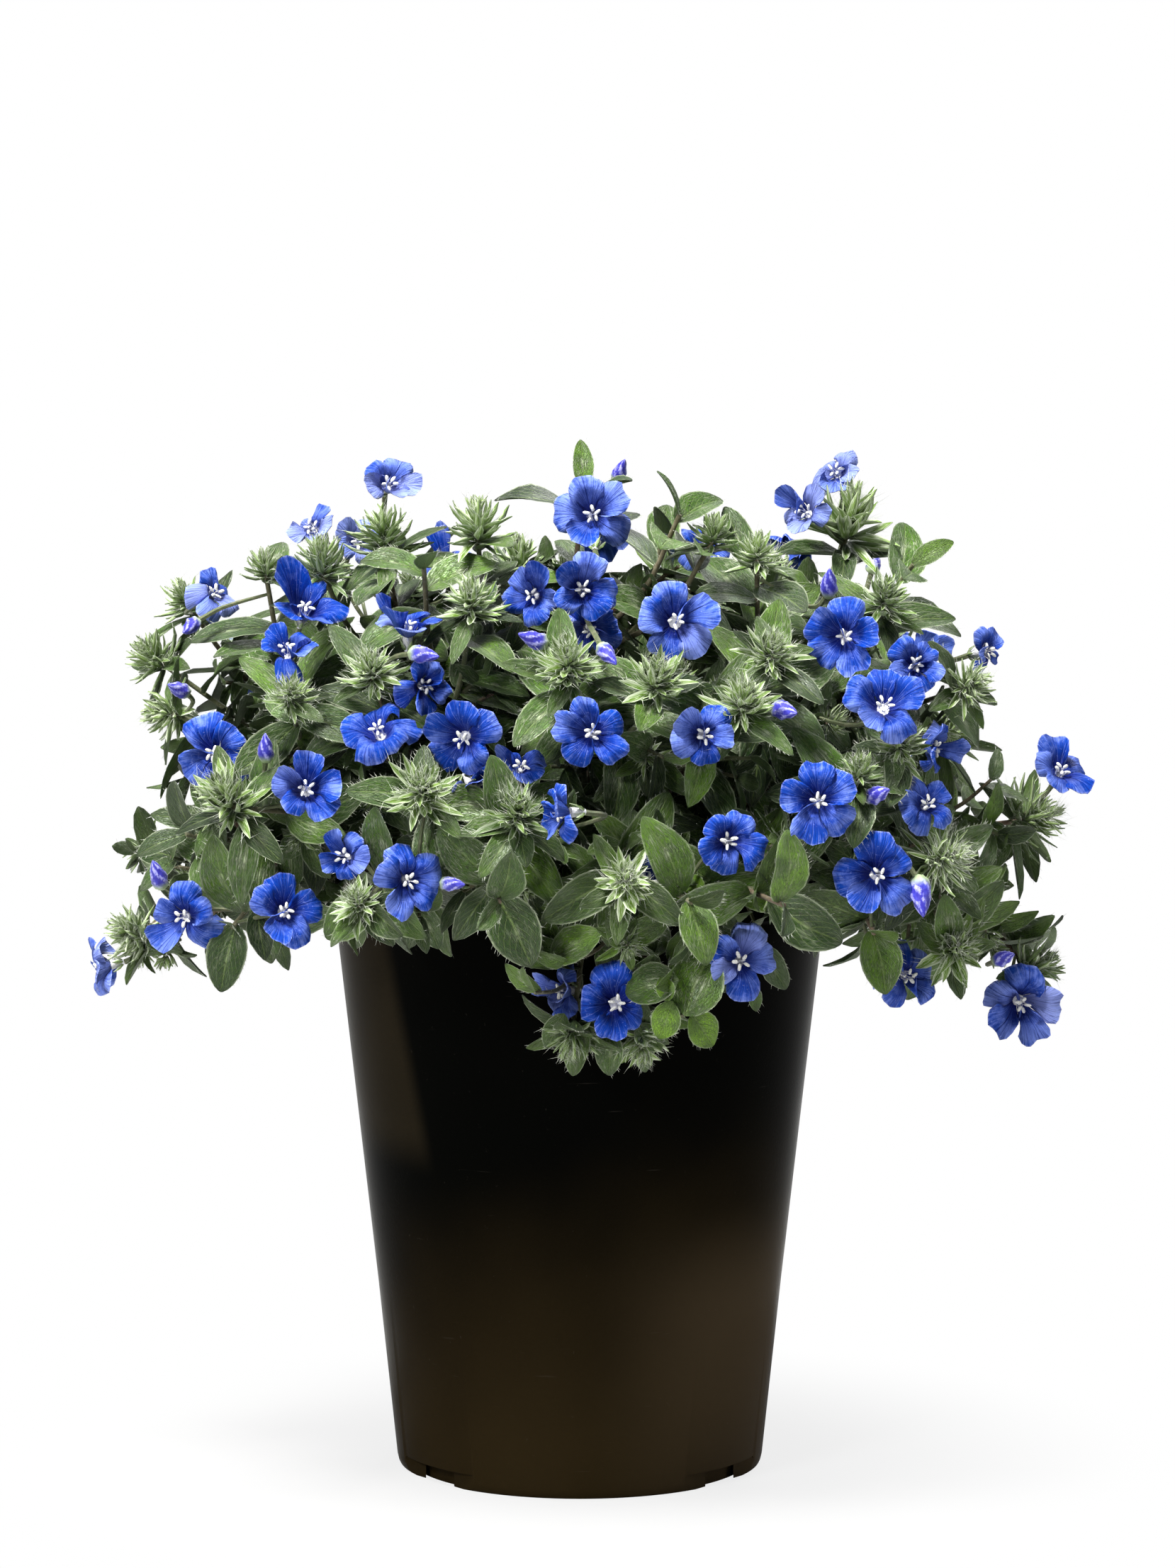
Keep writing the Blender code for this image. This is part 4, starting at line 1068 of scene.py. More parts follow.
def add_head(bracts, hairs, at, direction, length, draw, small=False):
    """A bract head: a spiral of bracts, wide at its foot. Some are open rosettes, some narrow tufts."""
    side, over = axes_about(direction)
    broad = draw.uniform(0.6, 1.45)
    number = max(FEWEST_BRACTS, int(HEAD_BRACTS * min(1, length / FULL_HEAD)))
    number = SMALL_HEAD_BRACTS if small else number
    number = int(number / broad**0.7 * (BACK_BRACTS if at.y > BACK_HALF else 1))
    flatness = draw.uniform(0.55, 1.1)
    start = draw.uniform(0, math.tau)
    shade = draw.uniform(0.0, 1.0)
    for index in range(number):
        share = index / (number - 1)
        spread = math.radians(100 - 86 * share**flatness + draw.uniform(-18, 18))
        out = turned(side, over, start + index * GOLDEN_ANGLE)
        foot = at + direction * (length * (-0.42 + 0.55 * share)) + out * (length * 0.03)
        long = length * (0.82 - 0.5 * share) * draw.uniform(0.6, 1.15)
        wide = long * draw.uniform(0.16, 0.25) * broad * (1.1 - 0.2 * share)
        droop = -math.radians(draw.uniform(-25, 75))
        bract = leaf_off(foot, direction, out, spread, long, wide, droop, draw.uniform(0.3, 0.8))
        tint = (shade, draw.uniform(0.0, 0.3) + 0.5 * share, draw.random())
        add_blade(bracts, bract, tint, draw, SMALL_BRACT_ROWS if small else BRACT_ROWS, BRACT_RING)
        add_rim_hairs(hairs, bract, SMALL_BRACT_HAIRS if small else BRACT_HAIRS, length * 0.26, draw)


def hung_leaf(row, draw):
    """A leaf that faces the viewer, from its foot and tip as seen."""
    ahead = row[5] * MM
    foot = seen_at(row[0] * MM, row[1] * MM, ahead, 1)
    tip = seen_at(row[2] * MM, row[3] * MM, ahead + draw.uniform(-4, 2) * MM, 1)
    along = (tip - foot).normalized()
    towards = facing(draw.uniform(-16, 16), draw.uniform(5, 28), 1)
    normal = (towards - along * towards.dot(along)).normalized()
    return Leaf(foot, along, normal, (tip - foot).length, row[4] * MM * 1.08, 0.25, draw.uniform(0.1, 0.4))


def rosette(at, direction, length, draw):
    """The leaves that stand out around a head's foot."""
    side, over = axes_about(direction)
    start = draw.uniform(0, math.tau)
    made = []
    for index in range(draw.randint(4, 6)):
        spread = math.radians(draw.uniform(62, 100))
        out = turned(side, over, start + index * GOLDEN_ANGLE)
        foot = at - direction * (length * draw.uniform(0.4, 0.6))
        long, wide = length * draw.uniform(0.95, 1.3), length * draw.uniform(0.36, 0.52)
        droop = math.radians(draw.uniform(-10, 50))
        made.append(leaf_off(foot, direction, out, spread, long, wide, droop, draw.uniform(0.2, 0.6)))
    return made


def add_petals(surface, bloom, tone, draw):
    """Five petals joined at the throat. Each overlaps the next, with its own fold, lean and ruffled rim."""
    side, over = axes_about(bloom.face)
    axes = np.array((side, over, bloom.face))
    columns = np.linspace(-1, 1, PETAL_COLUMNS + 1)
    u = np.concatenate((columns, columns[-2:0:-1]))[None, :]
    up = np.concatenate((np.ones(PETAL_COLUMNS + 1), -np.ones(PETAL_COLUMNS - 1)))
    up[0] = up[PETAL_COLUMNS] = 0
    v = np.linspace(0.08, 1, PETAL_ROWS)[:, None]
    outer = eased(v, 0.35, 0.8)
    radius = bloom.radius
    funnel = draw.uniform(0.24, 0.42)
    crumple = draw.uniform(0.012, 0.036)
    waves = [(k, draw.uniform(0, 6), draw.uniform(-5, 5)) for k in (3, 7, 13)]
    bent = draw.randrange(5) if draw.random() < 0.7 else None
    for lobe in range(5):
        size = draw.uniform(0.8, 1.07)
        notch, squareness = draw.uniform(0.38, 0.68), draw.uniform(2.6, 5.2)
        skew, phase = draw.uniform(-0.28, 0.28), draw.uniform(0, 6)
        lean, curl = draw.uniform(-0.5, 0.44), draw.uniform(-0.2, 1.1)
        if lobe == bent:
            lean = draw.choice((-1.0, 0.95))
        fold, cleft = draw.uniform(-0.02, 0.12), max(0.0, draw.uniform(-0.06, 0.09))
        twist, ruffle = draw.uniform(-0.18, 0.18), draw.uniform(0.03, 0.085)
        spread = math.radians(36) + math.radians(draw.uniform(6, 12)) * outer
        angle = bloom.roll + (lobe + 0.5) * math.tau / 5 + u * spread + skew * 0.25 * outer
        rim = 1 - notch * np.abs(u - skew) ** squareness - cleft * np.exp(-((u / 0.16) ** 2))
        for depth, count, shift in ((0.024, 5, 1), (0.016, 12, 2), (0.012, 24, 3)):
            rim = rim + depth * np.sin(count * u + phase * shift)
        reach = radius * size * v * (1 + (rim - 1) * v**1.6)
        ridge = (4 * np.abs(u) * (1 - np.abs(u))) ** 0.7
        height = reach * math.sin(bloom.cup) - radius * funnel * (1 - eased(v, 0.0, 0.7))
        height = height + radius * (fold * ridge * v + twist * u * v * outer)
        height = height + radius * lean * np.maximum(0, v - 0.35)
        height = height - radius * curl * np.maximum(0, v - 0.6) ** 2 * 2
        height = height + radius * ruffle * np.sin(5.5 * u + phase) * eased(v, 0.55, 1.0)
        for k, shift, drift in waves:
            height = height + radius * crumple * (7 / (k + 3)) * np.sin(k * angle + shift + drift * v) * v**2
        height = height + u * 0.075 * radius * outer + up * PETAL_THICKNESS / 2
        out = reach * math.cos(bloom.cup)
        local = np.stack((out * np.cos(angle), out * np.sin(angle), height), axis=-1)
        rings = np.array(bloom.centre) + local @ axes
        uvs = np.stack(np.broadcast_arrays(u / 2 + 0.5, v), axis=-1)
        under = np.broadcast_to(np.where(up < 0, 1.0, 0.0), rings.shape[:2])
        share = np.full(under.shape, max(0.0, min(1.0, tone + draw.uniform(-0.3, 0.3))))
        tints = np.stack((share, under, np.full(under.shape, draw.random()), under), -1)
        surface.skin(rings, uvs, tints, rings[0].mean(axis=0))


def add_flower(surface, greens, bloom, tone, draw):
    """A whole flower: petals and tube, white stamens and style, and the green sepals behind."""
    add_petals(surface, bloom, tone, draw)
    side, over = axes_about(bloom.face)
    foot, face, centre = bloom.foot(), bloom.face, bloom.centre
    throat = centre - face * (0.3 * bloom.radius)
    tube = [foot.lerp(throat, share) for share in (0, 0.35, 0.7, 1)]
    add_tube(surface, tube, [0.9 * MM, 1.1 * MM, 1.5 * MM, 0.16 * bloom.radius], 8, (tone, 1, 0, 1), 1)
    turn = draw.uniform(0, math.tau)
    for index in range(5):
        out = turned(side, over, turn + index * math.tau / 5 + draw.uniform(-0.15, 0.15))
        low = centre + out * (0.1 * bloom.radius) - face * (0.2 * bloom.radius)
        high = centre + out * (draw.uniform(1.45, 2.1) * MM) + face * (draw.uniform(0.2, 1.3) * MM)
        add_tube(surface, [low, high], [0.22 * MM, 0.18 * MM], 4, PLAIN, 1)
        lean = side * draw.uniform(-0.5, 0.5) + over * draw.uniform(-0.5, 0.5)
        tilt = (out + lean + face * draw.uniform(-0.1, 0.7)).normalized()
        long = draw.uniform(0.95, 1.3) * MM
        anther = [high + tilt * (long * share) for share in (-0.9, -0.55, 0, 0.55, 0.9)]
        wide = draw.uniform(0.48, 0.62) * MM
        add_tube(surface, anther, [wide * share for share in (0.4, 0.9, 1, 0.9, 0.4)], 7, (1, 0, 0, 1), 1)
        sepal_foot, long = foot - face * (0.4 * MM), draw.uniform(5, 6.5) * MM
        sepal = leaf_off(sepal_foot, face, out, 0.8, long, 1.9 * MM, -0.5, 0.3)
        add_blade(greens, sepal, SEPAL_TINT, draw, SMALL_BRACT_ROWS, BRACT_RING)
    for sign in (-1, 1):
        tip = centre + face * (2.4 * MM) + side * (sign * 0.9 * MM)
        add_tube(surface, [throat, centre, tip], [0.15 * MM, 0.13 * MM, 0.1 * MM], 4, PLAIN, 1)


def add_bud(surface, greens, at, direction, length, draw):
    """A furled bud, twisted to a point, with five sepals at its foot. Its flutes are white in the tint."""
    side, over = axes_about(direction)
    share = np.linspace(0.03, 0.96, BUD_ROWS)[:, None]
    angle = -math.tau * np.arange(BUD_SIDES)[None, :] / BUD_SIDES
    flute = np.cos(5 * (angle - 2.6 * share))
    radius = length * 0.235 * np.sin(np.pi * share**0.62) ** 0.75 * (1 + 0.13 * flute)
    rise = length * (share - 0.5) + 0 * angle
    local = np.stack((radius * np.cos(angle), radius * np.sin(angle), rise), -1)
    rings = np.array(at) + local @ np.array((side, over, direction))
    tints = np.stack((0.5 + 0.5 * flute, share + 0 * flute, 0 * flute, 0 * flute + 1), -1)
    ends = numbers(at - direction * (length / 2), at + direction * (length / 2))
    surface.skin(rings, MIDDLE, tints, *ends, 2)
    for index in range(5):
        out = turned(side, over, index * math.tau / 5 + draw.uniform(-0.1, 0.1))
        foot = at - direction * (length * 0.5)
        sepal = leaf_off(foot, direction, out, 0.5, length * 0.5, length * 0.17, -0.9, 0.3)
        add_blade(greens, sepal, BUD_SEPAL_TINT, draw, SMALL_BRACT_ROWS, BRACT_RING)


# Side shoots and small leaves.


def outside_mound(point, share, lowest=LOWEST_FILL):
    """Whether a point is outside the mound drawn in to this share of its size, or too low."""
    radii = FILL_MOUND_RADII * share
    across = (point.x / radii.x) ** 2 + (point.y / radii.y) ** 2
    return point.z < lowest or across + ((point.z - MOUND_CENTRE_Z) / radii.z) ** 2 > 1


class Filler:
    """Side shoots and small leaves that close the mound behind what the plan placed."""

    def __init__(self, plan):
        self.plan, self.space = plan, plan.space
        self.sights = []
        for entry in plan.blooms:
            bloom = entry["bloom"]
            towards = (EYE - bloom.centre).normalized() if bloom.face.y < 0.2 else bloom.face
            self.sights.append((bloom.centre, towards, bloom.radius * SIGHT_SHARE))
        self.shoots, self.leaves, self.heads = [{name: [] for name in STEMS} for _ in range(3)]
        for index in range(RIM_SHOOTS):
            self.over_rim(index)
        for name, stem in plan.stems.items():
            for number, route in enumerate(stem["routes"]):
                self.along_route(name, route, number)
        for index in range(GAP_SHOOTS):
            self.through_gap(index)

    def hides_bloom(self, points):
        for centre, towards, radius in self.sights:
            for point in points:
                offset = point - centre
                ahead = offset.dot(towards)
                if 0 < ahead < SIGHT_REACH and (offset - towards * ahead).length < radius:
                    return True
        return False

    def in_the_way(self, leaf, shares, share, lowest):
        """Whether a leaf's edges, at these shares of its length, hide a bloom or leave the mound."""
        tips = [leaf.point(t, across, 0) for t in shares for across in (-1, 1)]
        return self.hides_bloom(tips) or any(outside_mound(tip, share, lowest) for tip in tips)

    def first_leaf(self, name, label, route, row, phase, lowest=LOWEST_FILL):
        for leaf in leaf_choices(label, route, row, phase):
            if self.in_the_way(leaf, (0.4, 0.75, 1), 1.0, lowest):
                continue
            if self.space.takes("leaf", name, leaf):
                self.leaves[name].append(leaf)
                return

    def rosettes(self, name, draw):
        """Leaves around the foot of each head, where they hide no bloom."""
        made = []
        for at, direction, length in self.plan.stems[name]["heads"] + self.heads[name]:
            for leaf in rosette(at, direction, length, draw) if length else ():
                if not self.in_the_way(leaf, (0.5, 1), 1.08, LOWEST_ROSETTE):
                    made.append(leaf)
        return made

    def nearest_stem(self, out):
        stems = self.plan.stems.items()
        return min((-stem["root"].xy.normalized().dot(out.xy), name) for name, stem in stems)[1]

    def from_soil(self, name, label, route, phase, lowest=LOWEST_FILL):
        """A leafy shoot that starts in the soil. It is left out where it isn't clear."""
        if self.hides_bloom([route[-1]]) or not self.space.takes("route", name, route):
            return False
        self.shoots[name].append([route[0] - UNDER_SOIL, *route])
        for number, row in enumerate(RIM_LEAVES):
            self.first_leaf(name, f"{label} {number}", route, row, phase + number * GOLDEN_ANGLE, lowest)
        return True

    def through_gap(self, index):
        """A long shoot from the soil to the mound's far side, where there is room for one."""
        draw = random.Random(f"gap {index}")
        turn, lift = index * GOLDEN_ANGLE, math.asin(0.05 + 0.93 * (index + 0.5) / GAP_SHOOTS)
        out = level(turn)
        aim = out * math.cos(lift) + upright(math.sin(lift))
        if aim.y < 0.1:
            return
        tip = upright(MOUND_CENTRE_Z) + Vector([a * r * 0.86 for a, r in zip(aim, FILL_MOUND_RADII)])
        root = out * (draw.uniform(0.15, 0.8) * (RIM_RADIUS - 14 * MM)) + upright(SHOOT_START_Z)
        rise = upright(18 * MM + 0.3 * (tip - root).length)
        route = bezier((root, root + rise, root.lerp(tip, 0.7) + rise * 0.4, tip), 7)
        name, label = self.nearest_stem(out), f"gap {index}"
        if self.from_soil(name, label, route, turn):
            self.along_route(name, route, label)

    def over_rim(self, index):
        """A short shoot from the soil's edge that arches over the rim and hides it."""
        draw = random.Random(f"rim {index}")
        turn = math.tau * (index + draw.uniform(-0.3, 0.3)) / RIM_SHOOTS
        out, around = level(turn), Vector((-math.sin(turn), math.cos(turn), 0))
        swing = draw.uniform(-10, 10) * MM
        start = out * (RIM_RADIUS - 16 * MM) + upright(SHOOT_START_Z)
        top = out * (RIM_RADIUS - 2 * MM) + around * (swing * 0.3) + upright(POT_HEIGHT + 7 * MM)
        low = draw.uniform(-9, 5) * MM
        end = out * (RIM_RADIUS + draw.uniform(8, 14) * MM) + around * swing + upright(POT_HEIGHT + low)
        phase = draw.uniform(0, math.tau)
        self.from_soil(self.nearest_stem(out), f"rim {index}", [start, top, end], phase, LOWEST_RIM_LEAF)

    def along_route(self, name, route, number):
        """Side shoots down a branch, each turned on from the one before."""
        draw = random.Random(f"fill {name} {number}")
        length = sum((end - start).length for start, end in zip(route, route[1:])) / MM
        phase = draw.uniform(0, math.tau)
        distance = FIRST_SIDE_SHOOT + draw.uniform(0, 5)
        index = 0
        while distance < length - CLEAR_BRANCH_END:
            base, growth = below_tip(route, distance * MM)
            if in_pot(base):
                break
            self.side_shoot(name, f"{name} {number} {index}", base, growth, phase, draw)
            phase += GOLDEN_ANGLE
            distance += SIDE_SHOOT_SPACING / 2 + draw.uniform(-2, 2)
            index += 1

    def side_shoot(self, name, label, base, growth, phase, draw):
        """A leafy shoot, some with a head, that clears all else. Where none does, a leaf may."""
        side, over = axes_about(growth)
        outward = Vector((base.x, base.y, (base.z - MOUND_CENTRE_Z) * 1.1)).normalized()
        for attempt in range(SIDE_SHOOT_TRIES):
            out = turned(side, over, phase + attempt * 1.05)
            direction = (out + outward * 0.8 + growth * 0.35).normalized()
            reach = draw.uniform(*SIDE_SHOOT_REACH) * MM * (1 - 0.07 * attempt)
            tip = base + direction * reach
            shoot = [base, base.lerp(tip, 0.5) + growth * (0.1 * reach), tip]
            hidden = outside_mound(tip, 0.9) or self.hides_bloom([tip])
            if hidden or not self.space.takes("route", name, shoot):
                continue
            self.shoots[name].append(shoot)
            start = draw.uniform(0, math.tau)
            head = (tip + direction * (3 * MM), direction, draw.uniform(*SIDE_HEAD_LENGTH) * MM)
            wanted = draw.random() < SIDE_HEAD_CHANCE and not self.hides_bloom([head[0]])
            if wanted and self.space.takes("head", name, head):
                self.heads[name].append(head)
            for index, row in enumerate(SIDE_LEAVES):
                if row[0] * MM < reach:
                    self.first_leaf(name, f"{label} {index}", shoot, row, start + index * GOLDEN_ANGLE)
            return
        row = (0, draw.uniform(19, 26), draw.uniform(10, 13), 70)
        self.first_leaf(name, label, [base - growth * 3 * MM, base], row, phase)


# Colours. A pair is mixed from its first to its last.
# The dark end is also the painted shade of the leaves deep in the mound.
LEAF_DARK = (0.004, 0.018, 0.0015)
LEAF_LIGHT = (0.09, 0.205, 0.016)
LEAF_YOUNG = (0.2, 0.4, 0.008)
LEAF_PATCH = (0.018, 0.052, 0.006)
LEAF_VEIN = (0.24, 0.34, 0.1)
LEAF_SPECK = (0.004, 0.014, 0.002)
LEAF_SILK = (0.58, 0.65, 0.44)
LEAF_UNDER = (0.17, 0.26, 0.08)
BRACT_DARK = (0.035, 0.085, 0.008)
BRACT_LIGHT = (0.13, 0.235, 0.03)
BRACT_YOUNG = (0.2, 0.33, 0.035)
BRACT_FOOT = (0.016, 0.04, 0.004)
BRACT_DOWN = (0.78, 0.82, 0.68)
BRACT_UNDER = (0.25, 0.34, 0.13)
PETAL_DEEP = ((0.001, 0.019, 0.23), (0.003, 0.058, 0.45))
PETAL_LIGHT = ((0.028, 0.08, 0.47), (0.15, 0.23, 0.7))
PETAL_PALEST = (0.38, 0.44, 0.86)
PETAL_DARK_RAY = (0.002, 0.014, 0.2)
PETAL_PALE_RAY = (0.22, 0.3, 0.86)
PETAL_MOTTLE = (0.34, 0.42, 0.92)
# Painted shade in the petals' creases and seams.
PETAL_PAINTED_CREASE_SHADE = (0.002, 0.008, 0.14)
PETAL_RING = (0.008, 0.01, 0.21)
PETAL_THROAT = (0.7, 0.7, 0.84)
PETAL_RIM = (0.42, 0.48, 0.92)
PETAL_UNDER = (0.08, 0.15, 0.56)
BUD_VIOLET = (0.03, 0.025, 0.36)
BUD_STRIPE = (0.42, 0.42, 0.84)
BUD_WORN = (0.06, 0.07, 0.55)
BUD_FOOT = (0.36, 0.46, 0.25)
ANTHER = ((0.74, 0.74, 0.7), (0.92, 0.92, 0.9))
STAMEN_STALK = ((0.6, 0.62, 0.74), (0.78, 0.78, 0.86))
HAIR = ((0.6, 0.65, 0.52), (0.9, 0.91, 0.85))
STEM = ((0.085, 0.11, 0.045), (0.13, 0.08, 0.055))
STEM_RIDGE = (0.2, 0.19, 0.12)
POT_BLACK = (0.0012, 0.0013, 0.001)
# Painted reflection of a warm surface, brown low on the pot.
POT_PAINTED_WARM_REFLECTION = (0.023, 0.0155, 0.006)
# Painted reflections on the pot's lower right and upper left.
POT_PAINTED_REFLECTION_RIGHT = (0.055, 0.039, 0.022)
POT_PAINTED_REFLECTION_LEFT = (0.017, 0.013, 0.007)
POT_DUST = (0.16, 0.14, 0.12)
SOIL = ((0.012, 0.007, 0.004), (0.075, 0.045, 0.025))
FLOOR_TONE = ((0.5, 0.5, 0.5), (0.54, 0.54, 0.54))


# Looks: how a node tree is built, then one function for each material.


class Value:
    """What a node gives out, to be written in sums."""

    def __init__(self, nodes, socket):
        self.nodes, self.socket = nodes, socket

    def math(self, operation, second=0.0, third=0.0):
        settings = {"operation": operation}
        return self.nodes.node("ShaderNodeMath", settings, s0=self, s1=second, s2=third)

    def __add__(self, other):
        return self.math("ADD", other)

    def __sub__(self, other):
        return self.math("SUBTRACT", other)

    def __mul__(self, other):
        return self.math("MULTIPLY", other)

    def __abs__(self):
        return self.math("ABSOLUTE")

    def most(self, other):
        return self.math("MAXIMUM", other)

    def ramp(self, low, high, first=0.0, last=1.0):
        """A smooth step, from first below low to last above high."""
        inputs = {"Value": self, "From_Min": low, "From_Max": high, "To_Min": first, "To_Max": last}
        return self.nodes.node("ShaderNodeMapRange", {"interpolation_type": "SMOOTHSTEP"}, **inputs)


class Nodes:
    """Builds a node tree. An input is named as its socket, or s0, s1... for its place."""

    def __init__(self, tree):
        self.tree = tree

    def fill(self, node, **inputs):
        """Links or sets a node's inputs. A colour may leave out its alpha."""
        for name, value in inputs.items():
            socket = node.inputs[int(name[1:]) if name[1:].isdigit() else name.replace("_", " ")]
            if isinstance(value, Value):
                self.tree.links.new(value.socket, socket)
            elif socket.type == "RGBA" and len(value) == 3:
                socket.default_value = (*value, 1)
            else:
                socket.default_value = value
        return [Value(self, socket) for socket in node.outputs]

    def outputs(self, kind, settings=None, **inputs):
        """All the outputs of a new node."""
        node = self.tree.nodes.new(kind)
        for name, value in (settings or {}).items():
            setattr(node, name, value)
        return self.fill(node, **inputs)

    def node(self, kind, settings=None, output=0, **inputs):
        return self.outputs(kind, settings, **inputs)[output]


class Look(Nodes):
    """A material around one Principled shader, with one colour after another painted onto its base."""

    def __init__(self, name, **inputs):
        self.material = bpy.data.materials.new(name)
        self.material.use_nodes = True
        super().__init__(self.material.node_tree)
        self.shader = self.tree.nodes["Principled BSDF"]
        self.fill(self.shader, **inputs)

    def mix(self, share, first, second):
        settings = {"data_type": "RGBA", "blend_type": "MIX"}
        return self.node("ShaderNodeMix", settings, 2, s0=share, s6=first, s7=second)

    def paint(self, share, colour):
        self.base = self.mix(share, self.base, colour)

    def parts(self, vector):
        return self.outputs("ShaderNodeSeparateXYZ", s0=vector)

    def uv(self):
        return self.node("ShaderNodeUVMap", {"uv_map": "blade"})

    def across_and_along(self):
        u, v, _ = self.parts(self.uv())
        return u, v

    def tint(self):
        colour = self.node("ShaderNodeAttribute", {"attribute_name": "tint"})
        return self.outputs("ShaderNodeSeparateColor", s0=colour)

    def place(self):
        return self.node("ShaderNodeTexCoord", output=3)

    def noise(self, scale, detail=3.0, roughness=0.55, vector=None):
        """Noise over the object's own place, or over another vector."""
        inputs = {"Vector": vector or self.place(), "Scale": scale, "Detail": detail, "Roughness": roughness}
        return self.node("ShaderNodeTexNoise", **inputs)

    def streaks(self, vector, stretch, detail, roughness=0.55, scale=1.0):
        """Noise over a stretched vector."""
        stretched = self.node("ShaderNodeVectorMath", {"operation": "MULTIPLY"}, s0=vector, s1=stretch)
        return self.noise(scale, detail, roughness, stretched)

    def finish(self, height=None, distance=0.0003, strength=0.6):
        """The material, with its base colour and, from a height, its bumps."""
        self.fill(self.shader, Base_Color=self.base)
        if height:
            bump = self.node("ShaderNodeBump", Height=height, Distance=distance, Strength=strength)
            self.fill(self.shader, Normal=bump)
        return self.material


def leaf_look():
    """Green, silvered by silky hairs in lengthwise streaks, with pale veins and a downy rim. The tint's
    shade darkens the inner leaves and dims their silver, as painted shade.
    """
    look = Look("leaf", Roughness=0.4, Specular_IOR_Level=0.45, Sheen_Weight=0.08, Sheen_Roughness=0.4)
    shade, under, young = look.tint()
    uv = look.uv()
    u, v = look.across_and_along()
    edge = abs(u - 0.5) * 2.0
    # The tint's shade mixes dark to light: random tone, with painted shade on the inner leaves.
    look.base = look.mix(shade, LEAF_DARK, LEAF_LIGHT)
    look.paint(young, LEAF_YOUNG)
    look.paint(look.noise(190, 4).ramp(0.38, 0.66) * 0.6, LEAF_PATCH)
    wave = ((v - edge.math("POWER", 1.2) * 0.5) * 46.0).math("SINE")
    vein = wave.ramp(0.78, 1.0) * edge.ramp(0.98, 0.6)
    lines = (vein * 0.42).most(edge.ramp(0.02, 0.09, 1.0, 0.0) * 0.5)
    look.paint(lines, LEAF_VEIN)
    look.paint(look.streaks(uv, (34, 26, 1), 3).ramp(0.54, 0.66, 0.0, 0.6), LEAF_SPECK)
    long = look.streaks(uv, (20, 3, 1), 3).ramp(0.5, 0.66)
    fine = look.streaks(uv, (64, 14, 1), 2).ramp(0.5, 0.64)
    silk = (long * 0.8).most(fine * 0.6) * look.noise(150, 3).ramp(0.38, 0.62, 0.1, 1.0)
    # Less silver on the darker leaves, as part of the inner leaves' painted shade.
    silk = silk * shade.ramp(0.05, 0.8, 0.25, 0.95) * young.ramp(0.2, 0.9, 1.0, 0.25)
    look.paint(silk.most(edge.ramp(0.87, 1.0, 0.0, 0.55)), LEAF_SILK)
    look.paint(under * 0.5, LEAF_UNDER)
    return look.finish(fine - lines * 1.2 + silk, 0.0005, 1.0)


def bract_look():
    """Yellow-green inside, whitened by silky down towards the rim and in streaks along each bract."""
    look = Look("bract", Roughness=0.5, Specular_IOR_Level=0.35, Sheen_Weight=0.12, Sheen_Roughness=0.4)
    shade, under, young = look.tint()
    u, v = look.across_and_along()
    edge = abs(u - 0.5) * 2.0
    look.base = look.mix(shade, BRACT_DARK, BRACT_LIGHT)
    look.paint(young, BRACT_YOUNG)
    look.paint(v.ramp(0.45, 0.0), BRACT_FOOT)
    down = look.streaks(look.uv(), (8, 3, 1), 2)
    pale = edge.ramp(0.35, 1.0, 0.0, 0.8).most(down.ramp(0.5, 0.64, 0.0, 0.75))
    pale = pale * shade.ramp(0.0, 0.9, 0.5, 1.05) * v.ramp(0.05, 0.6, 0.25, 1.0)
    look.paint(pale, BRACT_DOWN)
    look.paint(under * 0.4, BRACT_UNDER)
    return look.finish(down)


def petal_look():
    """Cornflower blue in light and deep clouds, with fine rays, a pale rim, a violet throat, and painted
    shade along some petals' middle creases and at the seams between petals.
    """
    look = Look("petal", Roughness=0.45, Specular_IOR_Level=0.16)
    tone, under, petal = look.tint()
    u, v = look.across_and_along()
    across = abs(u - 0.5)
    deep = look.mix(v.ramp(0.2, 1.0), *PETAL_DEEP)
    light = look.mix(v.ramp(0.2, 1.0), *PETAL_LIGHT)
    drift = (look.noise(130, 4, 0.65) - 0.5) * 4.4
    look.base = look.mix((tone + drift).ramp(0.0, 1.0), deep, light)
    look.paint(tone.ramp(0.6, 1.0) * 0.6, PETAL_PALEST)
    streak = look.streaks(look.uv(), (26, 1.5, 1), 4, 0.6)
    look.paint(streak.ramp(0.5, 0.66, 0.0, 0.7), PETAL_DARK_RAY)
    look.paint(streak.ramp(0.47, 0.34, 0.0, 0.5), PETAL_PALE_RAY)
    look.paint(look.noise(1100).ramp(0.6, 0.72, 0.0, 0.3), PETAL_MOTTLE)
    # Painted shade: a dark line along the middle crease of some petals.
    fold = across.ramp(0.002, 0.022, 1.0, 0.0) * v.ramp(0.95, 0.4) * petal.ramp(0.35, 0.9)
    look.paint(fold * 0.65, PETAL_PAINTED_CREASE_SHADE)
    # Painted shade at the seams where the petals overlap.
    seam = across.ramp(0.42, 0.5) * v.ramp(0.95, 0.5)
    look.paint(seam * 0.7, PETAL_PAINTED_CREASE_SHADE)
    look.paint(v.ramp(0.12, 0.2) * v.ramp(0.5, 0.22) * 0.45, PETAL_RING)
    look.paint(v.ramp(0.16, 0.09), PETAL_THROAT)
    look.paint(v.ramp(0.95, 1.0) * streak.ramp(0.56, 0.4, 0.1, 0.6), PETAL_RIM)
    look.paint(under * 0.35, PETAL_UNDER)
    return look.finish(streak - fold.most(seam) * 0.6, 0.0008, 1.0)


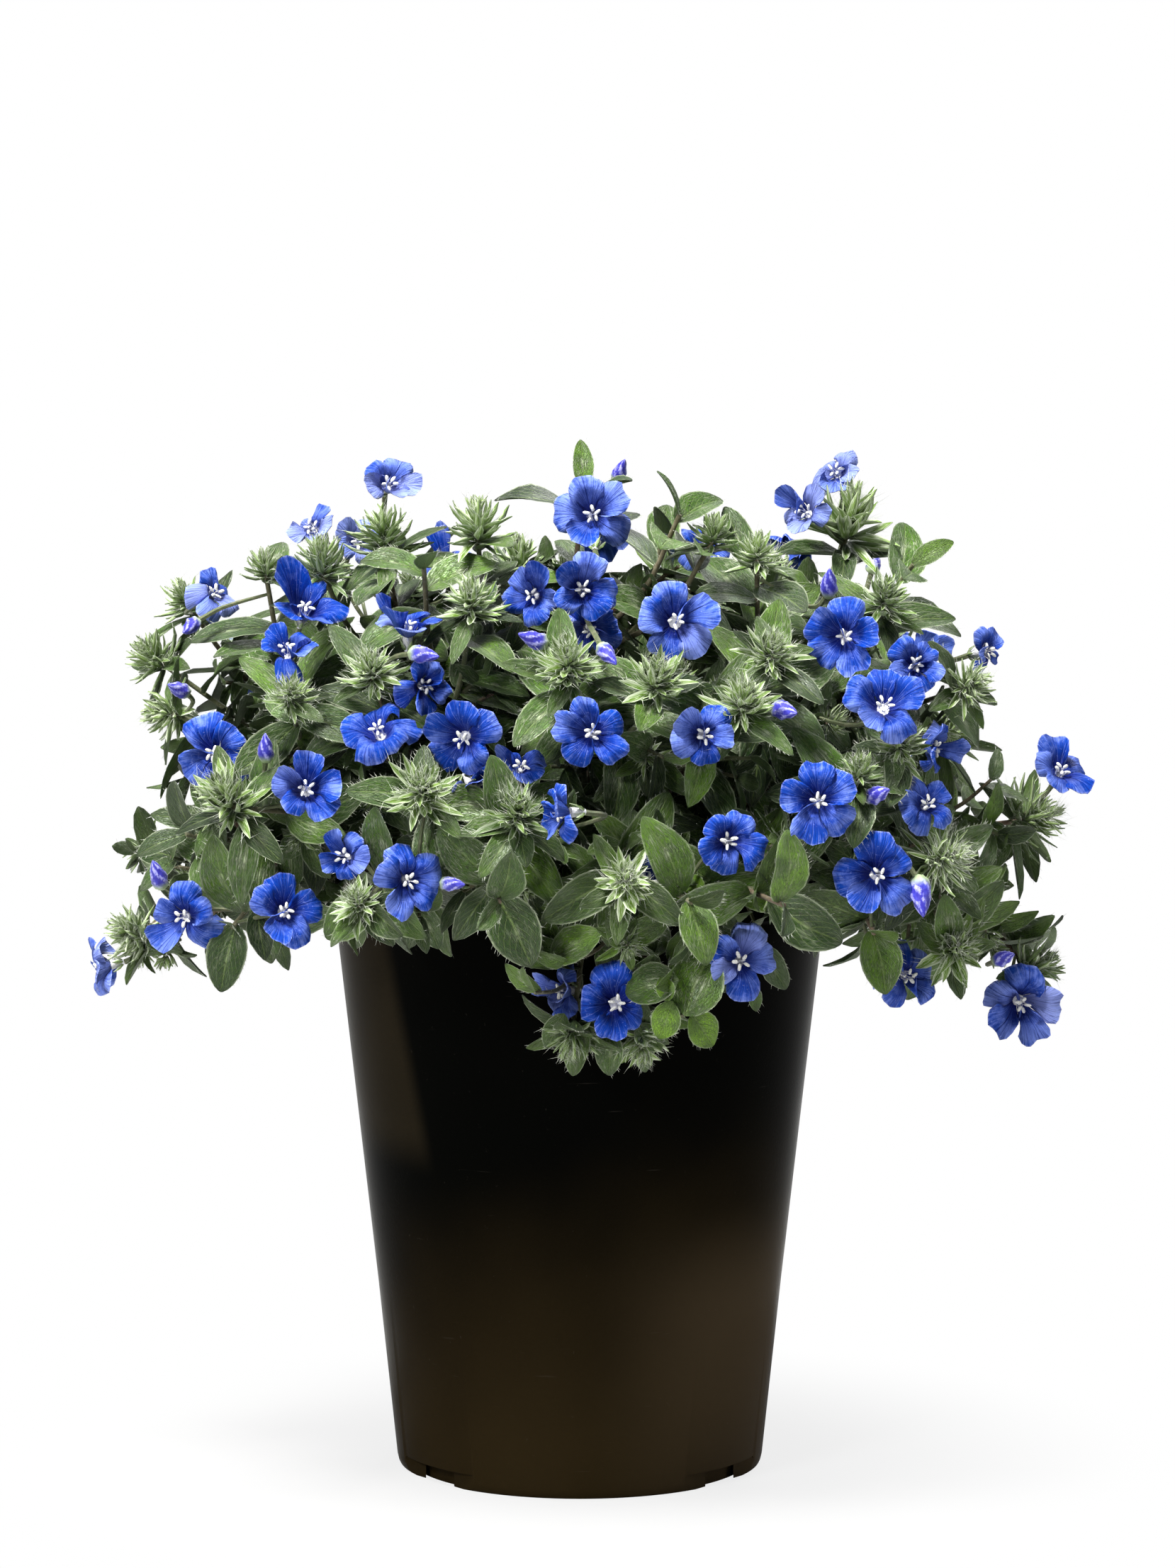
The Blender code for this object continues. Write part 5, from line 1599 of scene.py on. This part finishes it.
def bud_look():
    """Furled petals: violet-blue with uneven white stripes along the flutes, and pale green at the foot."""
    look = Look("bud", Roughness=0.5, Specular_IOR_Level=0.35, Sheen_Weight=0.1)
    flute, along, _ = look.tint()
    worn = (look.noise(420, 4, 0.7) - 0.5) * 2.2
    look.base = look.mix((flute + worn).ramp(0.4, 0.95), BUD_VIOLET, BUD_STRIPE)
    look.paint(look.noise(900).ramp(0.4, 0.7, 0.0, 0.6), BUD_WORN)
    look.paint(along.ramp(0.36, 0.1), BUD_FOOT)
    return look.finish()


def stamen_look():
    """Bluish white stalks and tube, and whiter anthers."""
    look = Look("stamen", Roughness=0.5, Specular_IOR_Level=0.4)
    grain = look.noise(2400, 2).ramp(0.3, 0.7)
    anther = look.mix(grain, *ANTHER)
    look.base = look.mix(grain, *STAMEN_STALK)
    look.paint(look.tint()[0], anther)
    return look.finish(grain)


def hair_look():
    look = Look("hair", Roughness=0.35, Specular_IOR_Level=0.5)
    look.base = look.mix(look.noise(300, 2), *HAIR)
    return look.finish()


def stem_look():
    """Green-brown to purplish-brown, with fine ridges."""
    look = Look("stem", Roughness=0.65, Specular_IOR_Level=0.3, Sheen_Weight=0.2)
    look.base = look.mix(look.tint()[0], *STEM)
    grain = look.noise(700, 4)
    look.paint(grain.ramp(0.4, 0.7, 0.0, 0.6), STEM_RIDGE)
    return look.finish(grain)


def pot_look():
    """Black moulded plastic with dust and scuffs, and painted reflections: warm brown at its foot and at its
    sides.
    """
    look = Look("pot_plastic", Specular_IOR_Level=0.006)
    place = look.place()
    sideways, back, height = look.parts(place)
    patch = look.noise(9)
    # The share of painted warm reflection: patchy, low on the pot, reaching higher towards the right.
    lift = sideways.math("MULTIPLY_ADD", -0.33, height) + (patch - 0.5) * 0.09
    look.base = look.mix(lift.ramp(0.12, 0.0), POT_BLACK, POT_PAINTED_WARM_REFLECTION)
    # Painted reflection, brown, on the lower right of the pot.
    look.paint(sideways.ramp(0.0, 0.07) * height.ramp(0.095, 0.055), POT_PAINTED_REFLECTION_RIGHT)
    # Painted reflection, brown, in a band on the upper left of the pot, towards the front.
    left = height.math("MULTIPLY_ADD", 0.19, sideways).ramp(-0.0245, -0.03) * height.ramp(0.1, 0.118)
    left = left * back.ramp(0.035, -0.015)
    look.paint(left * patch.ramp(0.3, 0.6, 0.7, 1.0), POT_PAINTED_REFLECTION_LEFT)
    dust = look.streaks(place, (1, 1, 0.6), 5, 0.7, 620).ramp(0.66, 0.8)
    scuff = look.streaks(place, (60, 60, 900), 2).ramp(0.72, 0.8, 0.0, 0.3)
    look.paint(dust.most(scuff) * 0.16, POT_DUST)
    look.fill(look.shader, Roughness=look.noise(26, 4).ramp(0.3, 0.75, 0.18, 0.26))
    return look.finish(look.noise(1300), 0.00012, 0.35)


def soil_look():
    look = Look("soil", Roughness=0.95, Specular_IOR_Level=0.2)
    look.base = look.mix(look.noise(420, 5).ramp(0.35, 0.7), *SOIL)
    return look.finish(look.noise(900, 5), 0.001, 0.9)


def floor_look():
    """A pale floor that fades, to the eye alone, to the backdrop's white away from the object."""
    look = Look("floor", Roughness=0.7, Specular_IOR_Level=0.2)
    far = look.node("ShaderNodeVectorMath", {"operation": "LENGTH"}, 1, s0=look.place())
    seen = far.ramp(0.06, 0.2, 0.8, 1.0) * look.node("ShaderNodeLightPath")
    look.base = look.mix(look.noise(40), *FLOOR_TONE)
    glow = look.node("ShaderNodeEmission", Color=WHITE, Strength=1.0)
    shader = Value(look, look.shader.outputs[0])
    mixed = look.node("ShaderNodeMixShader", s0=seen, s1=shader, s2=glow)
    look.fill(look.tree.nodes["Material Output"], Surface=mixed)
    return look.finish()


# The pieces: pot, soil and stems.


def placed(obj, slot, *nodes):
    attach(obj, "root")
    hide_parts(*nodes)
    return obj


def modify(obj, kind, **settings):
    modifier = obj.modifiers.new(kind, kind)
    for name, value in settings.items():
        setattr(modifier, name, value)


def bake(obj):
    """Bakes an object's modifiers into its mesh."""
    bpy.context.view_layer.update()
    graph = bpy.context.evaluated_depsgraph_get()
    mesh = bpy.data.meshes.new_from_object(obj.evaluated_get(graph))
    obj.modifiers.clear()
    obj.data = mesh


def notch_cutter(azimuth):
    """A block through the skirt, wider at the table than at its top."""
    bm = bmesh.new()
    bmesh.ops.create_cube(bm, size=1)
    for vert in bm.verts:
        top = vert.co.z > 0
        width = NOTCH_WIDTH + (-NOTCH_SLOPE if top else NOTCH_SLOPE)
        vert.co = Vector((vert.co.x * width, vert.co.y * NOTCH_DEPTH, NOTCH_HEIGHT if top else -MM))
    mesh = bpy.data.meshes.new("cut_notch")
    bm.to_mesh(mesh)
    bm.free()
    cutter = linked("cut_notch", mesh)
    cutter.location = facing(azimuth, 0, 1) * (SKIRT_RADIUS + 3 * MM)
    cutter.rotation_euler.z = math.radians(azimuth)
    return cutter


def pot_profile():
    """The pot's section, as radii and heights, from the top of the rim down its outside and back up."""
    skirt_inside = SKIRT_RADIUS - WALL - 0.2 * MM
    return (
        (RIM_RADIUS - MM, POT_HEIGHT),
        (RIM_RADIUS - 0.3 * MM, POT_HEIGHT - 0.3 * MM),
        (RIM_RADIUS, POT_HEIGHT - MM),
        (RIM_RADIUS, POT_HEIGHT - RIM_DEPTH + 0.6 * MM),
        (RIM_RADIUS - 0.6 * MM, POT_HEIGHT - RIM_DEPTH),
        (WALL_TOP_RADIUS + 0.4 * MM, POT_HEIGHT - RIM_DEPTH - 0.2 * MM),
        (WALL_TOP_RADIUS, POT_HEIGHT - RIM_DEPTH - 1.2 * MM),
        (SKIRT_RADIUS + WALL_SLOPE * 60 * MM, 60 * MM),
        (SKIRT_RADIUS + WALL_SLOPE * 3 * MM, 3 * MM),
        (SKIRT_RADIUS - 0.1 * MM, SKIRT_CHAMFER),
        (SKIRT_RADIUS - 0.5 * MM, 0.4 * MM),
        (SKIRT_RADIUS - SKIRT_CHAMFER, 0),
        (skirt_inside, 0),
        (skirt_inside, FLOOR_UNDERSIDE),
        (RING_OUTER_RADIUS, FLOOR_UNDERSIDE),
        (RING_OUTER_RADIUS, 0),
        (RING_INNER_RADIUS, 0),
        (RING_INNER_RADIUS, FLOOR_UNDERSIDE),
        (0, FLOOR_UNDERSIDE),
        (0, FLOOR_UNDERSIDE + FLOOR),
        (SKIRT_RADIUS + WALL_SLOPE * FLOOR_UNDERSIDE - WALL, FLOOR_UNDERSIDE + FLOOR),
        (WALL_TOP_RADIUS - WALL, POT_HEIGHT - RIM_DEPTH),
        (WALL_TOP_RADIUS - 0.5 * MM, POT_HEIGHT),
    )


def build_pot(material):
    """The pot as one smooth turned body, with its notches cut and every edge softened."""
    corners = [(radius, 0, height) for radius, height in pot_profile()]
    mesh = bpy.data.meshes.new("pot_body")
    mesh.from_pydata(corners, [(index, (index + 1) % len(corners)) for index in range(len(corners))], [])
    mesh.materials.append(material)
    pot = linked("pot_body", mesh)
    turn = {"steps": POT_SEGMENTS, "render_steps": POT_SEGMENTS, "merge_threshold": WELD}
    modify(pot, "SCREW", axis="Z", use_merge_vertices=True, **turn)
    bake(pot)
    bm = bmesh.new()
    bm.from_mesh(pot.data)
    bmesh.ops.recalc_face_normals(bm, faces=bm.faces)
    bm.to_mesh(pot.data)
    bm.free()
    cutters = [notch_cutter(azimuth) for azimuth in NOTCH_AZIMUTHS]
    for cutter in cutters:
        modify(pot, "BOOLEAN", operation="DIFFERENCE", object=cutter)
    bake(pot)
    modify(pot, "BEVEL", width=POT_SOFTNESS, segments=2, limit_method="ANGLE", angle_limit=math.radians(50))
    bake(pot)
    for cutter in cutters:
        bpy.data.objects.remove(cutter, do_unlink=True)
    pot.data.shade_smooth()
    pot.data.set_sharp_from_angle(angle=math.radians(38))
    placed(pot, "pot_plastic", "pot")


def build_soil(material):
    """A crumbly fill: a domed disc with a rough top, and loose crumbs lying on it."""
    bottom = FLOOR_UNDERSIDE + FLOOR + GAP
    inside = SKIRT_RADIUS - WALL - 2 * GAP
    top = inside + WALL_SLOPE * SOIL_TOP
    angles = -math.tau * np.arange(SOIL_SIDES) / SOIL_SIDES
    rings = []
    for share in np.linspace(0.04, 1, SOIL_RINGS):
        radius = share * top
        ring = []
        for turn in angles:
            x, y = radius * math.cos(turn), radius * math.sin(turn)
            rough = noise.fractal(Vector((x, y, 0)) * SOIL_GRAIN, 1.0, 2.0, 4) * SOIL_ROUGHNESS * MM
            rough = rough * min(1, (1 - share) * 12)
            ring.append((x, y, SOIL_TOP + SOIL_DOME * (1 - share**2) - 0.8 * MM + rough))
        rings.append(ring)
    low = inside + WALL_SLOPE * bottom
    rings.append([(low * math.cos(turn), low * math.sin(turn), bottom) for turn in angles])
    surface = Surface()
    ends = numbers((0, 0, SOIL_TOP + SOIL_DOME - 0.8 * MM), (0, 0, bottom))
    surface.skin(np.array(rings), MIDDLE, PLAIN, *ends)
    draw = random.Random("crumbs")
    for _ in range(CRUMBS):
        radius = (top - 4 * MM) * math.sqrt(draw.random())
        turn = draw.uniform(0, math.tau)
        size = draw.uniform(0.6, 2.0) * MM
        height = SOIL_TOP + SOIL_DOME * (1 - (radius / (80 * MM)) ** 2) - 0.5 * MM
        middle = Vector((radius * math.cos(turn), radius * math.sin(turn), height))
        axis = Vector((draw.uniform(-1, 1), draw.uniform(-1, 1), draw.uniform(-0.4, 0.4))).normalized()
        route = [middle + axis * (size * share) for share in (-0.9, -0.4, 0.3, 0.9)]
        add_tube(surface, route, [size * draw.uniform(0.3, 0.8) for _ in range(4)], 5, PLAIN)
    placed(surface.made("soil_top", [material], 30), "soil", "soil")


def add_leaves(leaves, hairs, group, small, bright, draw):
    """Leaves of random tone with painted shade: lighter the farther out they are and the higher, darker deep
    in the mound.
    """
    for leaf in group:
        rows = LEAF_ROWS
        if small:
            rows = BACK_LEAF_ROWS if leaf.base.y > BACK_HALF else SMALL_LEAF_ROWS
        outward = leaf.point(0.6, 0, 0)
        out = (outward.xy.length / (140 * MM) + (outward.z - 180 * MM) / (150 * MM)) / 1.3
        out = max(0.0, min(1.0, out))
        young = max(0.0, draw.uniform(-0.5, 0.4)) + bright * draw.random()
        # Painted shade: leaves deep in the mound and low down are darker, at random within that.
        shade = draw.uniform(0.0, 1) * (0.15 + 0.85 * out)
        bend = add_blade(leaves, leaf, (shade, young, 1), draw, rows, SMALL_RING if small else BLADE_RING)
        count = round(SMALL_LEAF_HAIRS * out) if small else LEAF_HAIRS
        add_rim_hairs(hairs, leaf, count, LEAF_HAIR, draw, bend)


def add_hanging(leaves, stems, hairs, draw):
    """The leaves that hang over the rim in front, and their twig."""
    for row in HANGING_LEAVES:
        leaf = hung_leaf(row, draw)
        bend = add_blade(leaves, leaf, (draw.uniform(0.3, 1), row[6], 1), draw)
        add_rim_hairs(hairs, leaf, HANGING_LEAF_HAIRS, HANGING_LEAF_HAIR, draw, bend)
    twig = [seen_at(x * MM, z * MM, ahead * MM, 1) for x, z, ahead in HANGING_TWIG]
    add_stem(stems, hairs, twig, TWIG_RADIUS * 0.8, TWIG_RADIUS * 0.6, draw)


def build_stem(name, plan, filler, looks):
    """One stem's leaves, branches, bract heads, hairs and the flowers that are fused to it."""
    stem, draw = plan.stems[name], random.Random(f"looks {name}")
    leaves, stems, bracts, hairs, flowers = [Surface() for _ in range(5)]
    filled = filler.leaves[name] + filler.rosettes(name, draw)
    for group, small in ((stem["leaves"], False), (filled, True)):
        add_leaves(leaves, hairs, group, small, BRIGHT_STEMS.get(name, 0.0), draw)
    if name == HANGING_STEM:
        add_hanging(leaves, stems, hairs, draw)
    for index, route in enumerate(stem["routes"]):
        start = [] if index else [Vector((stem["root"].x, stem["root"].y, SOIL_TOP - 4 * MM))]
        first = TWIG_RADIUS if index else STEM_RADIUS
        add_stem(stems, hairs, start + list(route), first, TWIG_RADIUS * 0.75, draw)
    for shoot in filler.shoots[name]:
        add_stem(stems, hairs, shoot, TWIG_RADIUS * 0.8, TWIG_RADIUS * 0.55, draw, small=True)
    for stalk in stem["stalks"]:
        add_tube(stems, smooth_route(stalk), tapered(0.5 * MM, 0.95 * MM, 9), 6, PLAIN)
    for head in stem["heads"]:
        if head[2]:
            add_head(bracts, hairs, *head, draw)
    for head in filler.heads[name]:
        add_head(bracts, hairs, *head, draw, small=True)
    for bud in stem["buds"]:
        add_bud(flowers, bracts, *bud, draw)
    inner = 0
    for entry in plan.blooms:
        if entry["stem"] != name:
            continue
        own = entry["owner"] != name
        key = entry["owner"] if own else f"{name} {inner}"
        inner += not own
        tone = PALE_BLOOMS.get(key, draw.uniform(0.2, 0.6))
        surface = Surface() if own else flowers
        add_flower(surface, bracts, entry["bloom"], tone, draw)
        if own:
            petals = surface.made("petals_" + key.removeprefix("bloom_"), [looks["petal"], looks["stamen"]])
            placed(petals, "petals", key)
    pieces = (
        ("leaves", leaves, "leaf"),
        ("branches", stems, "stem"),
        ("bracts", bracts, "bract"),
        ("hairs", hairs, "hair"),
    )
    for kind, surface, look in pieces:
        placed(surface.made(f"{kind}_{name}", [looks[look]]), "leaves", f"stem_{name}")
    if flowers.total:
        materials = [looks[look] for look in ("petal", "stamen", "bud")]
        placed(flowers.made(f"flowers_{name}", materials), "petals", f"stem_{name}")


# The stage, its lights and the camera. The eye sees a white backdrop, and a pale surround lights the
# object.
WHITE = (1.0, 1.0, 1.0)
FLOOR_HALF = 30.0
SURROUND = {"Color": (0.93, 0.96, 1.0), "Strength": 0.11}
# The soft lights: name, place, size, power and colour. Each is turned to the same aim.
LIGHT_AIM = Vector((0, 0, 0.2))
LIGHTS = (
    ("top", (-0.3, -0.5, 1.5), (0.35, 0.35), 46, (1, 0.99, 0.95)),
    ("front_left", (-0.9, -1.3, 1.0), (0.4, 0.4), 18, (1, 1, 1)),
    ("right_side", (1.3, -0.1, 0.6), (0.35, 1.2), 4, (0.95, 0.98, 1)),
    ("back", (0.5, 1.3, 1.5), (0.8, 0.8), 14, (1, 1, 1)),
)
# The camera is level with the plant's top and looks a little down, as the photo was taken.
CAMERA_PLACE = (0, -1.6, 0.3609)
CAMERA_DIP = 5.02
CAMERA_LENS = 114.6
CAMERA_SENSOR = 36
CAMERA_SHIFT = 11 / 2212


def build_stage():
    """A plain pale floor under a white backdrop."""
    mesh = bpy.data.meshes.new("floor")
    corners = [(x * FLOOR_HALF, y * FLOOR_HALF, 0) for x, y in ((-1, -1), (1, -1), (1, 1), (-1, 1))]
    mesh.from_pydata(corners, [], [(0, 1, 2, 3)])
    mesh.materials.append(floor_look())
    floor = linked("floor", mesh)


def build_light():
    """The lights, and a world that shows the eye its backdrop and lights the object by its surround."""
    world = bpy.data.worlds.new("studio")
    bpy.context.scene.world = world
    world.use_nodes = True
    nodes = Nodes(world.node_tree)
    backdrop = nodes.fill(nodes.tree.nodes["Background"], Color=WHITE, Strength=1.0)[0]
    surround = nodes.node("ShaderNodeBackground", **SURROUND)
    ray = nodes.node("ShaderNodeLightPath")
    mixed = nodes.node("ShaderNodeMixShader", s0=ray, s1=surround, s2=backdrop)
    nodes.fill(nodes.tree.nodes["World Output"], Surface=mixed)
    for name, place, size, power, colour in LIGHTS:
        light = bpy.data.lights.new(name, "AREA")
        light.shape = "RECTANGLE"
        light.size, light.size_y = size
        light.energy = power
        light.color = colour
        obj = linked(name, light)
        obj.location = place
        obj.rotation_euler = (LIGHT_AIM - Vector(place)).to_track_quat("-Z", "Y").to_euler()


def build_camera():
    camera = bpy.data.cameras.new("camera")
    camera.lens = CAMERA_LENS
    camera.sensor_width = CAMERA_SENSOR
    camera.shift_x = CAMERA_SHIFT
    obj = linked("camera", camera)
    obj.location = CAMERA_PLACE
    obj.rotation_euler = (math.radians(90 - CAMERA_DIP), 0, 0)
    bpy.context.scene.camera = obj


def build_object():
    plan = Plan(Space())
    filler = Filler(plan)
    looks = {
        "leaf": leaf_look(),
        "bract": bract_look(),
        "petal": petal_look(),
        "bud": bud_look(),
        "stamen": stamen_look(),
        "hair": hair_look(),
        "stem": stem_look(),
    }
    build_pot(pot_look())
    build_soil(soil_look())
    for name in plan.stems:
        build_stem(name, plan, filler, looks)
    bpy.data.objects.remove(bpy.data.objects["rod_section"], do_unlink=True)


build_camera()
build_object()
build_stage()
build_light()
bpy.context.scene.view_settings.view_transform = "Standard"
bpy.context.view_layer.update()
